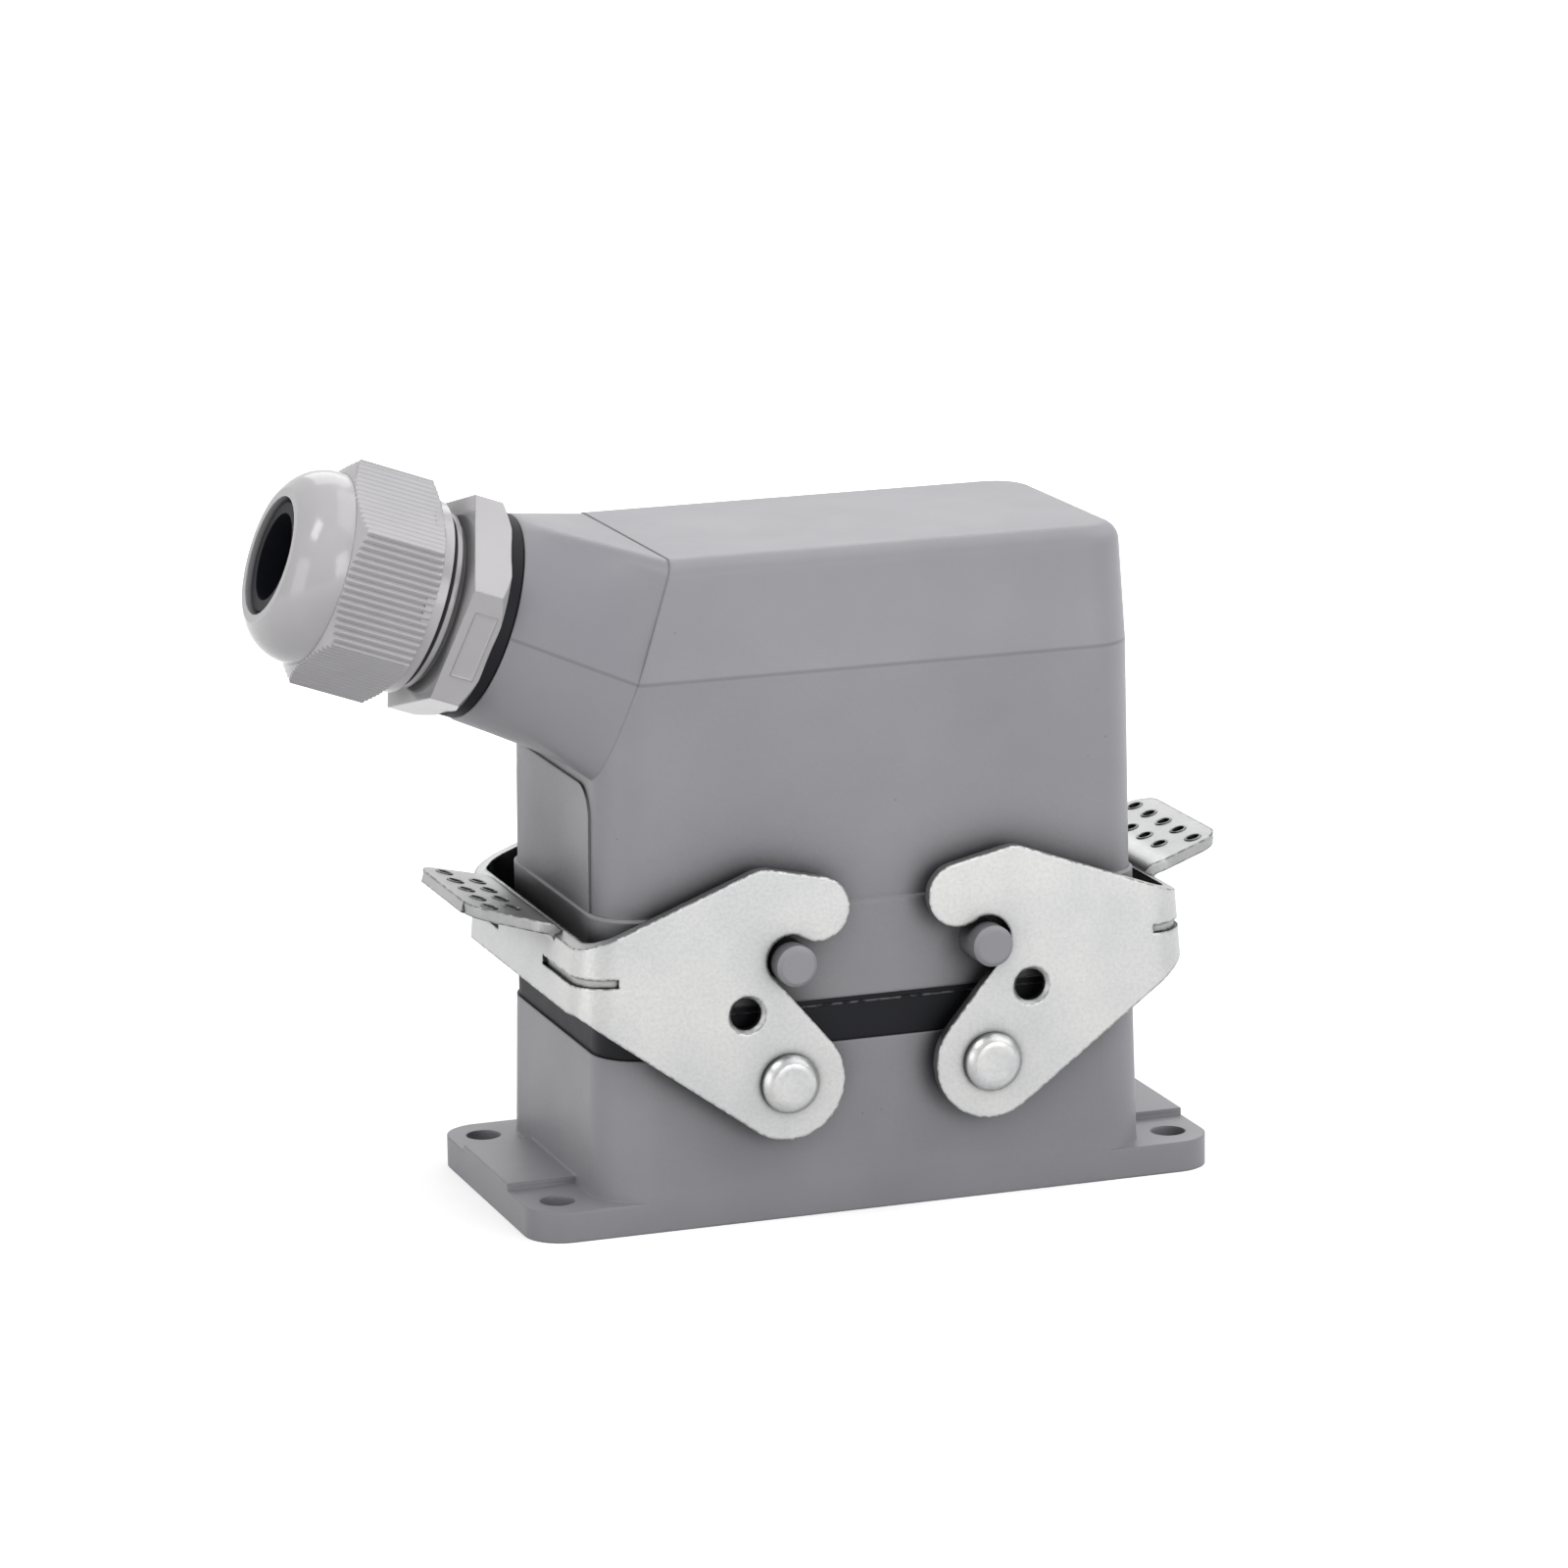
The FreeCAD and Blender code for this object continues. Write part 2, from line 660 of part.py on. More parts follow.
def neck_root_curves(inset):
    """The oblique section of the hood where the neck begins, a wall's inset inside it."""
    tilt = math.radians(S.neck_tilt.number)
    end_half = CREASE_LENGTH.number / 2 + S.hood_taper_end.number / 3
    rise = S.neck_root_drop.number / math.cos(tilt) - inset
    crease = (S.neck_root_drop.number - S.top_rise.number) / math.cos(tilt)
    fall = (end_half + S.neck_root_inset.number - S.body_length.number / 2) / math.sin(tilt) - inset
    half_low = UPPER_WIDTH.number / 2 - inset
    heel_round = S.body_corner.number - S.skirt_proud.number - inset / 2
    stretch = heel_round / math.sin(tilt)
    heel = half_low - heel_round
    bend = stretch - fall
    start = math.acos((crease - bend) / stretch)
    shoulder = spot(crease, heel + heel_round * math.sin(start))
    side = spot(rise, TOP_WIDTH.number / 2 - inset) - shoulder
    lean = math.atan2(-side.y, side.x)
    crown_round = S.hood_edge_round.number - inset / 2
    crown_middle = rise - crown_round
    crown = shoulder.y - (crown_round + (crown_middle - crease) * math.sin(lean)) / math.cos(lean)
    crown_end = spot(crown_middle + crown_round * math.sin(lean), crown + crown_round * math.cos(lean))
    left = [arc_between(spot(crown_middle, crown), crown_round, spot(rise, crown), crown_end),
            Part.LineSegment(crown_end, shoulder),
            Part.ArcOfEllipse(Part.Ellipse(spot(bend, heel), stretch, heel_round), start, math.pi)]
    right = [Part.ArcOfEllipse(Part.Ellipse(spot(bend, -heel), stretch, heel_round), math.pi,
                               2 * math.pi - start),
             Part.LineSegment(mirrored(shoulder), mirrored(crown_end)),
             arc_between(spot(crown_middle, -crown), crown_round, mirrored(crown_end), spot(rise, -crown))]
    return [Part.LineSegment(spot(rise, -crown), spot(rise, crown)), *left,
            Part.LineSegment(spot(-fall, heel), spot(-fall, -heel)), *right]


def mirrored(point):
    """A sketch's point on the other side of its first axis."""
    return spot(point.x, -point.y)


def divided_circle(bore):
    """A circle in eight arcs that face the eight pieces of the neck's root."""
    stops = [-14, 14, 24, 92, 134, 226, 268, 336, 346]
    ring = Part.Circle(Vector(), AXIS_Z, bore / 2)
    return [Part.ArcOfCircle(ring, math.radians(low), math.radians(high))
            for low, high in zip(stops, stops[1:])]


def build_hood():
    """The cast hood with its skirt, neck, locking pegs and screw lugs."""
    body = new_body("hood")
    corner = S.body_corner - S.skirt_proud
    skirt_top = HOOD_RIM + S.skirt_height
    bands = []
    for name, level, length, width, bend in (
            ("foot", HOOD_RIM, S.body_length, S.body_width, S.body_corner),
            ("ledge", skirt_top - S.skirt_proud, S.body_length, S.body_width, S.body_corner),
            ("top", skirt_top, UPPER_LENGTH, UPPER_WIDTH, corner)):
        sketch = new_sketch(body, "skirt_" + name, "XY_Plane", level)
        rounded_rectangle(sketch, length, width, bend)
        bands.append(sketch)
    loft(body, "skirt", bands)
    levels = [("rim", HOOD_RIM, UPPER_LENGTH, UPPER_WIDTH),
              ("crease", HOOD_CREASE, CREASE_LENGTH, UPPER_WIDTH),
              ("top", HOOD_TOP, CREASE_LENGTH - S.hood_taper_end / 2, TOP_WIDTH)]
    sections = []
    for name, level, length, width in levels:
        sketch = new_sketch(body, name + "_section", "XY_Plane", level)
        rounded_rectangle(sketch, length, width, corner)
        sections.append(sketch)
    loft(body, "shell_block", sections)
    soften(body, "roof_round", "Fillet", S.hood_edge_round, lambda edge: at_level(edge, HOOD_TOP))
    root = new_sketch(body, "root_plane", "XY_Plane", placement=neck_frame(0.0))
    reach = HOOD_TOP
    rectangle(root, -reach, reach, -reach, reach)
    pocket(body, "root_cut", root, S.neck_length * 2, forwards=True)
    root_section = new_sketch(body, "root_section", "XY_Plane", placement=neck_frame(0.0))
    outline(root_section, neck_root_curves(S.neck_root_ledge.number))
    sections = [root_section]
    for degrees in (0, 45, 90):
        back = S.neck_end_round.number * (1 - math.sin(math.radians(degrees)))
        shrink = S.neck_end_round.number * (1 - math.cos(math.radians(degrees)))
        place = neck_frame(S.neck_length.number - back)
        end_section = new_sketch(body, "end_section_" + str(degrees), "XY_Plane", placement=place)
        outline(end_section, divided_circle(S.neck_end_bore.number - 2 * shrink))
        sections.append(end_section)
    loft(body, "neck", sections)
    end_panel(body)
    pegs = new_sketch(body, "peg_outline", "XZ_Plane")
    for side in (-1, 1):
        circle(pegs, side * S.peg_offset, PEG_HEIGHT, S.peg_bore)
    pad(body, "pegs", pegs, 2 * PEG_REACH, both_ways=True)
    soften(body, "peg_ends", "Chamfer", S.peg_chamfer, is_peg_end)
    hood_cavity(body)
    throat = new_sketch(body, "throat_section", "XY_Plane", placement=neck_frame(-0.5))
    outline(throat, neck_root_curves(S.wall.number))
    inner_end = S.neck_length.number - S.neck_thread_depth.number * 0.7
    bell = new_sketch(body, "bell_section", "XY_Plane", placement=neck_frame(inner_end))
    outline(bell, divided_circle(S.neck_thread_bore.number - 1.0))
    loft(body, "neck_hollow", [throat, bell], cut=True)
    thread = new_sketch(body, "thread_outline", "XY_Plane", placement=neck_frame(S.neck_length.number))
    circle(thread, 0.0, 0.0, S.neck_thread_bore)
    pocket(body, "thread_bore", thread, S.neck_thread_depth)
    four_lugs(body, "lugs", HOOD_LUG_FOOT, S.hood_lug_height)
    taps = new_sketch(body, "lug_holes", "XY_Plane", HOOD_LUG_FOOT)
    four_circles(taps, INSERT_PITCH_X, INSERT_PITCH_Y, S.insert_screw_bore + 2 * S.seat_gap)
    pocket(body, "lug_bores", taps, S.hood_lug_height - 1.0, forwards=True)
    return body


def end_panel(body):
    """The raised flat under the neck, with round upper corners."""
    lean = math.degrees(math.atan(S.hood_taper_end.number / S.crease_rise.number))
    foot = Vector(-UPPER_LENGTH.number / 2, 0, HOOD_RIM.number)
    place = Placement(foot, Rotation(AXIS_Y, lean - 90.0))
    half = UPPER_WIDTH.number / 2 - S.body_corner.number + S.skirt_proud.number
    low = S.skirt_height.number / 2
    tilt = math.radians(S.neck_tilt.number)
    inset = S.neck_root_inset.number - S.skirt_proud.number
    high = HOOD_TOP.number - S.neck_root_drop.number - HOOD_RIM.number - inset / math.tan(tilt)
    corner = S.panel_corner.number
    panel = new_sketch(body, "panel_outline", "XY_Plane", placement=place)
    outline(panel, [Part.LineSegment(spot(low, -half), spot(high - corner, -half)),
                    round_corner(high - corner, corner - half, corner, 270),
                    Part.LineSegment(spot(high, corner - half), spot(high, half - corner)),
                    round_corner(high - corner, half - corner, corner, 0),
                    Part.LineSegment(spot(high - corner, half), spot(low, half)),
                    Part.LineSegment(spot(low, half), spot(low, -half))])
    pad(body, "panel", panel, 2 * S.panel_proud, both_ways=True)


def hood_cavity(body):
    """The hollow under the hood's roof: full width to the crease, narrower above it."""
    slope = math.tan(math.radians(S.neck_tilt.number))
    inner_x = CAVITY_LENGTH.number / 2
    low = HOOD_RIM.number - 1.0
    crease = HOOD_CREASE.number
    roof = HOOD_TOP.number - S.roof_thick.number
    root_x = -S.body_length.number / 2 + S.neck_root_inset.number
    root_z = HOOD_TOP.number - S.neck_root_drop.number

    def far_end(level):
        """The leaning end wall's place at a level."""
        return inner_x - S.hood_taper_end.number * (level - low) / (roof - low)

    def neck_end(level):
        """The neck's root plane's place at a level."""
        return root_x + (level - root_z) * slope

    lower = new_sketch(body, "cavity_outline", "XZ_Plane")
    polygon(lower, [(-inner_x, low), (inner_x, low), (far_end(crease), crease), (neck_end(crease), crease),
                    (-inner_x, root_z - (root_x + inner_x) / slope)])
    pocket(body, "cavity", lower, CAVITY_WIDTH, both_ways=True)
    start = crease - 1.0
    upper = new_sketch(body, "upper_cavity_outline", "XZ_Plane")
    polygon(upper, [(neck_end(start), start), (far_end(start), start), (far_end(roof), roof),
                    (neck_end(roof), roof)])
    pocket(body, "upper_cavity", upper, CAVITY_WIDTH - 2 * S.hood_taper_side, both_ways=True)


def is_peg_end(edge):
    """True for the round edge at the end of a locking peg."""
    box = edge.BoundBox
    flat = abs(box.YMax - box.YMin) < 1e-4
    return flat and abs(abs(box.YMax) - PEG_REACH.number) < 1e-4


# Locking levers: one folded sheet each, with two hooked cheeks and a grip tab

def is_eye_edge(edge):
    """True for the round edge of a lever's eye on the cheek's outer face."""
    box = edge.BoundBox
    flat = abs(abs(box.YMax) - LEVER_FACE.number) < 1e-4 and abs(box.YMax - box.YMin) < 1e-4
    bore = S.eye_bore.number
    return flat and abs(box.XLength - bore) < 1e-3 and abs(box.ZLength - bore) < 1e-3


def lever_section():
    """The U of the lever's sheet, seen from above: two cheeks, two bends and the bridge."""
    sheet_thick = S.lever_sheet.number
    reach = LEVER_REACH.number
    face = LEVER_FACE.number
    bend = S.lever_bend.number
    inner_reach = reach - sheet_thick
    inner_face = face - sheet_thick
    inner_bend = bend - sheet_thick
    tail = -S.lever_bend.number * 2
    flat = reach - bend
    turn = face - bend
    return [Part.LineSegment(spot(tail, -face), spot(flat, -face)),
            round_corner(flat, -turn, bend, 270),
            Part.LineSegment(spot(reach, -turn), spot(reach, turn)),
            round_corner(flat, turn, bend, 0),
            Part.LineSegment(spot(flat, face), spot(tail, face)),
            Part.LineSegment(spot(tail, face), spot(tail, inner_face)),
            Part.LineSegment(spot(tail, inner_face), spot(flat, inner_face)),
            round_corner(flat, turn, inner_bend, 0),
            Part.LineSegment(spot(inner_reach, turn), spot(inner_reach, -turn)),
            round_corner(flat, -turn, inner_bend, 270),
            Part.LineSegment(spot(flat, -inner_face), spot(tail, -inner_face)),
            Part.LineSegment(spot(tail, -inner_face), spot(tail, -face))]


def meeting(circle_a, circle_b, lower):
    """The point where two circles cross: the lower or the upper one."""
    spots = sorted(circle_a.intersect(circle_b), key=lambda item: item.Y)
    chosen = spots[0] if lower else spots[-1]
    return spot(chosen.X, chosen.Y)


def arc_between(centre, radius, start, end, clockwise=False):
    """An arc round a centre from one point to another."""
    first = math.atan2(start.y - centre.y, start.x - centre.x)
    last = math.atan2(end.y - centre.y, end.x - centre.x)
    if clockwise:
        first, last = last, first
    while last < first:
        last += 2 * math.pi
    return Part.ArcOfCircle(Part.Circle(centre, AXIS_Z, radius), first, last)


def lever_profile():
    """The cheek's outline from the side: pivot lobe, notch, hook, crown and bridge edge."""
    pivot = spot(S.pivot_offset.number, S.pivot_height.number)
    lobe = S.pivot_lobe.number
    hook = spot(HOOK_OFFSET.number, HOOK_HEIGHT.number)
    notch = spot(S.peg_offset.number, PEG_HEIGHT.number + S.notch_lift.number)
    edge_x = LEVER_REACH.number
    outer_x = TAB_REACH.number + S.lever_bend.number
    foot = spot(edge_x, BRIDGE_FOOT.number)
    lobe_start, notch_start = crossing_tangent(pivot, lobe, notch, S.notch_radius.number)
    pivot_exit = tangent_point(pivot, lobe, foot)
    hook_ring = Part.Circle(hook, AXIS_Z, S.hook_radius.number)
    notch_ring = Part.Circle(notch, AXIS_Z, S.notch_radius.number)
    cusp = meeting(hook_ring, notch_ring, lower=False)
    crown = spot(HOOK_OFFSET.number + S.crown_step.number, CROWN_HEIGHT.number - S.crown_round.number)
    top = spot(edge_x, BRIDGE_TOP.number)
    crown_exit = tangent_point(crown, S.crown_round.number, top, above=True)
    hook_exit, crown_entry = outer_tangent(hook, S.hook_radius.number, crown, S.crown_round.number)
    corners = [top, spot(outer_x, top.y), spot(outer_x, foot.y), foot]
    return [arc_between(pivot, lobe, lobe_start, pivot_exit),
            Part.LineSegment(pivot_exit, foot),
            Part.LineSegment(foot, corners[2]),
            Part.LineSegment(corners[2], corners[1]),
            Part.LineSegment(corners[1], top),
            Part.LineSegment(top, crown_exit),
            arc_between(crown, S.crown_round.number, crown_exit, crown_entry),
            Part.LineSegment(crown_entry, hook_exit),
            arc_between(hook, S.hook_radius.number, hook_exit, cusp),
            arc_between(notch, S.notch_radius.number, cusp, notch_start, clockwise=True),
            Part.LineSegment(notch_start, lobe_start)]


def crossing_tangent(low, low_radius, high, high_radius):
    """The ends of a line with one circle on its right and the next on its left."""
    offset = high - low
    lean = math.asin((low_radius + high_radius) / offset.Length)
    heading = math.atan2(offset.y, offset.x) - lean
    normal = spot(-math.sin(heading), math.cos(heading))
    return low + normal * low_radius, high - normal * high_radius


def tangent_point(centre, radius, outside, above=False):
    """Where a line from an outside point touches a circle, below it or above it."""
    offset = outside - centre
    spread = math.acos(radius / offset.Length)
    heading = math.atan2(offset.y, offset.x)
    angle = heading + spread if above else heading - spread
    return centre + spot(math.cos(angle), math.sin(angle)) * radius


def outer_tangent(left, left_radius, right, right_radius):
    """The two points where a line lies on top of two circles."""
    offset = right - left
    heading = math.atan2(offset.y, offset.x)
    lean = math.asin((right_radius - left_radius) / offset.Length)
    angle = heading + math.pi / 2 + lean
    normal = spot(math.cos(angle), math.sin(angle))
    return left + normal * left_radius, right + normal * right_radius


def tab_section():
    """The grip tab's sheet from the side: out of the bridge, round its bend and outward."""
    thick = S.lever_sheet.number
    lean = math.radians(S.bridge_lean.number)
    slope = math.radians(S.tab_slope.number)
    up = spot(-math.sin(lean), math.cos(lean))
    out = spot(math.cos(slope), math.sin(slope))
    plate_normal = spot(math.cos(lean), math.sin(lean))
    tab_normal = spot(math.sin(slope), -math.cos(slope))
    plate_spot = spot((LEVER_REACH.number - thick) / math.cos(lean), S.bridge_level.number)
    tip = spot(TAB_REACH.number, TAB_HEIGHT.number)
    bend = S.tab_bend.number
    first = plate_spot.dot(plate_normal) + bend
    second = tip.dot(tab_normal) + bend
    scale = plate_normal.x * tab_normal.y - plate_normal.y * tab_normal.x
    centre = spot((first * tab_normal.y - plate_normal.y * second) / scale,
                  (plate_normal.x * second - first * tab_normal.x) / scale)
    low = centre - plate_normal * bend - up * 2.0
    bend_start = centre - plate_normal * bend
    bend_end = centre - tab_normal * bend
    tip_low = tip + tab_normal * thick
    inner_end = bend_end + tab_normal * thick
    inner_start = bend_start + plate_normal * thick
    return [Part.LineSegment(low, bend_start),
            arc_between(centre, bend, bend_start, bend_end, clockwise=True),
            Part.LineSegment(bend_end, tip),
            Part.LineSegment(tip, tip_low),
            Part.LineSegment(tip_low, inner_end),
            arc_between(centre, bend - thick, inner_start, inner_end, clockwise=True),
            Part.LineSegment(inner_start, low + plate_normal * thick),
            Part.LineSegment(low + plate_normal * thick, low)]


def tab_trim(side):
    """What is cut from one side of the grip tab, seen from above: its taper and round corner."""
    waist = LEVER_REACH.number + S.tab_waist.number
    reach = TAB_REACH.number
    radius = S.tab_corner.number
    root_half = S.tab_root_width.number / 2
    end_half = S.tab_end_width.number / 2
    beyond = reach + S.tab_corner.number
    wide = root_half + S.tab_corner.number
    taper = math.atan2(root_half - end_half, reach - waist)
    middle_y = end_half - radius / math.cos(taper) + radius * math.tan(taper)
    centre = spot(reach - radius, side * middle_y)
    corner_start = centre + spot(radius * math.sin(taper), side * radius * math.cos(taper))
    corner_end = spot(reach, centre.y)
    points = [spot(waist, side * root_half), spot(waist, side * wide), spot(beyond, side * wide),
              spot(beyond, centre.y), corner_end]
    curves = [Part.LineSegment(low, high) for low, high in zip(points, points[1:])]
    curves.append(arc_between(centre, radius, corner_start, corner_end, clockwise=side > 0))
    curves.append(Part.LineSegment(corner_start, points[0]))
    return curves


def crease_section(side):
    """The stamped crease round one bend, seen from above: a shallow band in the outer face."""
    lean = math.radians(S.bridge_lean.number)
    rise = S.crease_level.number - S.bridge_level.number
    reach = LEVER_REACH.number / math.cos(lean) - rise * math.tan(lean)
    face = LEVER_FACE.number
    bend = S.lever_bend.number
    deep = S.crease_depth.number
    beyond = bend / 2
    flat = reach - bend
    turn = face - bend
    run = turn - S.crease_run.number
    centre = spot(flat, side * turn)
    points = [spot(flat, side * (face - deep)), spot(flat, side * (face + beyond)),
              spot(reach + beyond, side * (face + beyond)), spot(reach + beyond, side * run),
              spot(reach - deep, side * run), spot(reach - deep, side * turn)]
    curves = [Part.LineSegment(low, high) for low, high in zip(points, points[1:])]
    curves.append(arc_between(centre, bend - deep, points[-1], points[0], clockwise=side < 0))
    return curves


def tab_frame():
    """Place on the grip tab's upper face at its tip, with local X inward along the tab."""
    tip = Vector(TAB_REACH.number, 0, TAB_HEIGHT.number)
    return Placement(tip, Rotation(AXIS_Y, -S.tab_slope.number))


def build_lever(label, turn):
    """One locking lever, turned about the upright axis to its side of the housing."""
    body = new_body(label)
    lean = Placement(Vector(0, 0, S.bridge_level.number), Rotation(AXIS_Y, -S.bridge_lean.number))
    section = new_sketch(body, "sheet_section", "XY_Plane", placement=lean)
    outline(section, lever_section())
    pad(body, "folded_sheet", section, 2 * CROWN_HEIGHT, both_ways=True)
    profile = new_sketch(body, "cheek_outline", "XZ_Plane")
    outline(profile, lever_profile())
    border = 3 * LEVER_WIDTH
    rectangle(profile, -border, border, -border, border)
    pocket(body, "cheek_trim", profile, 2 * LEVER_WIDTH, both_ways=True)
    tab = new_sketch(body, "tab_section", "XZ_Plane")
    outline(tab, tab_section())
    pad(body, "grip_tab", tab, S.tab_root_width, both_ways=True)
    trims = new_sketch(body, "tab_trim", "XY_Plane", TAB_HEIGHT + S.lever_bend)
    outline(trims, tab_trim(1))
    outline(trims, tab_trim(-1))
    pocket(body, "tab_corners", trims, 2 * S.lever_bend + S.tab_bend)
    bores = new_sketch(body, "pivot_outline", "XZ_Plane")
    circle(bores, S.pivot_offset, S.pivot_height, S.pivot_bore)
    circle(bores, S.pivot_offset + S.eye_step, S.pivot_height + S.eye_rise, S.eye_bore)
    pocket(body, "pivot_bores", bores, LEVER_WIDTH + S.lever_bend, both_ways=True)
    soften(body, "eye_edges", "Chamfer", S.eye_chamfer, is_eye_edge)
    creases = new_sketch(body, "crease_outline", "XY_Plane", S.crease_level + S.crease_height / 2)
    outline(creases, crease_section(1))
    outline(creases, crease_section(-1))
    pocket(body, "creases", creases, S.crease_height)
    dimples = new_sketch(body, "dimple_outline", "XY_Plane", placement=tab_frame())
    for row, count in ((0, 5), (1, 4)):
        inward = S.dimple_edge_gap + row * S.dimple_row_gap
        for step in range(count):
            circle(dimples, -inward, (step - (count - 1) / 2) * S.dimple_pitch, S.dimple_bore)
    pocket(body, "dimples", dimples, S.dimple_depth)
    body.Placement = Placement(Vector(), Rotation(AXIS_Z, turn))
    return body


# Pivot pins: headed pins that the levers turn on, pressed into the base's long walls

def build_pivot_pin(label, side_x, side_y):
    """One pivot pin, turned so that its head faces outward."""
    body = new_body(label)
    inner = CAVITY_WIDTH / 2
    wall_face = S.body_width / 2
    shoulder_end = CHEEK_INNER - S.running_gap
    head_seat = LEVER_FACE + S.running_gap
    head_face = head_seat + S.pin_head_thick
    shank = S.pin_shank_bore / 2
    shoulder = S.pin_shoulder_bore / 2
    journal = S.pin_journal_bore / 2
    head = S.pin_head_bore / 2
    sketch = new_sketch(body, "half_section", "XZ_Plane")
    polygon(sketch, [(0.0, inner), (shank, inner), (shank, wall_face), (shoulder, wall_face),
                     (shoulder, shoulder_end), (journal, shoulder_end), (journal, head_seat),
                     (head, head_seat), (head, head_face - S.pin_head_chamfer),
                     (head - S.pin_head_chamfer, head_face), (0.0, head_face)])
    revolve(body, "turned_pin", sketch)
    place = Vector(side_x * S.pivot_offset.number, 0, S.pivot_height.number)
    body.Placement = Placement(place, Rotation(Vector(1, 0, 0), -90 * side_y))
    return body


# Contact inserts: moulded blocks screwed to the lugs, one in the base and one in the hood

def contact_spots():
    """Centres of the contacts: two rows of five."""
    return [((column - 2) * S.contact_pitch, side * S.contact_rows / 2)
            for side in (-1, 1) for column in range(5)]


def contact_holes(body, name, level, depth):
    """The bores that hold the contacts, cut downward from a level."""
    sketch = new_sketch(body, name + "_outline", "XY_Plane", level)
    for x_value, y_value in contact_spots():
        circle(sketch, x_value, y_value, S.contact_bore + 2 * S.seat_gap)
    return pocket(body, name, sketch, depth)


def terminal_holes(body, name, level):
    """The bores for the terminal screws, in from both long faces of a block."""
    sketch = new_sketch(body, name + "_outline", "XZ_Plane")
    for column in range(5):
        circle(sketch, (column - 2) * S.contact_pitch, level, S.terminal_head_bore + 2 * S.terminal_play)
    inner = S.contact_rows + S.contact_bore - 1.0
    body_cut = pocket(body, name, sketch, EAR_WIDTH, both_ways=True)
    core = new_sketch(body, name + "_core_outline", "XZ_Plane")
    half = BLOCK_LENGTH / 2 - S.contact_bore
    rectangle(core, -half, half, level - S.contact_bore * 0.7, level + S.contact_bore * 0.7)
    pad(body, name + "_core", core, inner, both_ways=True)
    return body_cut


def build_socket_insert():
    """The insert in the base: terminal block, screw ears and the plug block with its wells."""
    body = new_body("socket_insert")
    block = new_sketch(body, "block_outline", "XY_Plane", S.block_foot)
    rounded_rectangle(block, BLOCK_LENGTH, BLOCK_WIDTH, S.block_corner)
    pad(body, "terminal_block", block, S.base_lug_top - S.block_foot)
    ears = new_sketch(body, "ear_outline", "XY_Plane", S.base_lug_top)
    rounded_rectangle(ears, EAR_LENGTH, EAR_WIDTH, S.cavity_corner)
    pad(body, "ears", ears, S.ear_thick)
    plug = new_sketch(body, "plug_outline", "XY_Plane", PLUG_SEAT)
    rounded_rectangle(plug, PLUG_LENGTH, PLUG_WIDTH, S.block_corner)
    pad(body, "plug_block", plug, PLUG_TOP - PLUG_SEAT)
    terminal_holes(body, "terminal_bores", SOCKET_TERMINAL_LEVEL)
    contact_holes(body, "contact_wells", PLUG_TOP, PLUG_TOP - SOCKET_FOOT)
    holes = new_sketch(body, "ear_holes", "XY_Plane", PLUG_SEAT)
    four_circles(holes, INSERT_PITCH_X, INSERT_PITCH_Y, S.insert_screw_bore + 2 * S.insert_screw_play)
    for side in (-1, 1):
        circle(holes, side * INSERT_PITCH_X / 2, 0.0, S.earth_screw_bore + 2 * S.seat_gap)
    pocket(body, "ear_bores", holes, S.ear_thick + 0.5)
    return body


def build_pin_insert():
    """The insert in the hood: collar round the plug, screw ears and terminal block."""
    body = new_body("pin_insert")
    collar = new_sketch(body, "collar_outline", "XY_Plane", COLLAR_FOOT)
    rounded_rectangle(collar, BLOCK_LENGTH, BLOCK_WIDTH, S.block_corner)
    pad(body, "collar_block", collar, PIN_BLOCK_TOP - COLLAR_FOOT)
    ears = new_sketch(body, "ear_outline", "XY_Plane", PIN_EAR_FOOT)
    rounded_rectangle(ears, EAR_LENGTH, EAR_WIDTH, S.cavity_corner)
    pad(body, "ears", ears, S.ear_thick)
    well = new_sketch(body, "well_outline", "XY_Plane", PIN_EAR_FOOT)
    rounded_rectangle(well, PLUG_LENGTH + 2 * S.collar_gap, PLUG_WIDTH + 2 * S.collar_gap,
                      S.block_corner)
    pocket(body, "plug_well", well, PIN_EAR_FOOT - COLLAR_FOOT + 1.0)
    terminal_holes(body, "terminal_bores", PIN_TERMINAL_LEVEL)
    contact_holes(body, "contact_bores", PIN_BLOCK_TOP, PIN_BLOCK_TOP - PIN_EAR_FOOT + 1.0)
    holes = new_sketch(body, "ear_holes", "XY_Plane", HOOD_LUG_FOOT)
    four_circles(holes, INSERT_PITCH_X, INSERT_PITCH_Y, S.insert_screw_bore + 2 * S.insert_screw_play)
    for side in (-1, 1):
        circle(holes, side * INSERT_PITCH_X / 2, 0.0, S.earth_screw_bore + 2 * S.seat_gap)
    pocket(body, "ear_bores", holes, S.ear_thick + 0.5)
    return body


# Groups of like small pieces: one turned or cut shape, repeated at its places

def turned(points):
    """A solid turned about the upright axis from the half section's corner points."""
    spots = [Vector(numeric(radius), 0, numeric(height)) for radius, height in points]
    wire = Part.makePolygon(spots + [spots[0]])
    return Part.Face(wire).revolve(Vector(), AXIS_Z, 360)


def group(label, solids):
    """A node of separate like solids."""
    item = doc.addObject("Part::Feature", label)
    item.Label = label
    item.Shape = Part.makeCompound(solids)
    return item


def placed(solid, x_value, y_value, height=0.0, turn=None):
    """A copy of a solid at a place."""
    copy = solid.copy()
    spot_at = Vector(numeric(x_value), numeric(y_value), numeric(height))
    copy.Placement = Placement(spot_at, turn if turn is not None else Rotation())
    return copy


def screw_solid(bore, head_bore, head_thick, grip):
    """A plain screw: head above the level of its seat, shank below."""
    return turned([(0.0, -grip), (bore / 2, -grip), (bore / 2, 0.0), (head_bore / 2, 0.0),
                   (head_bore / 2, head_thick * 0.7), (head_bore * 0.38, head_thick), (0.0, head_thick)])


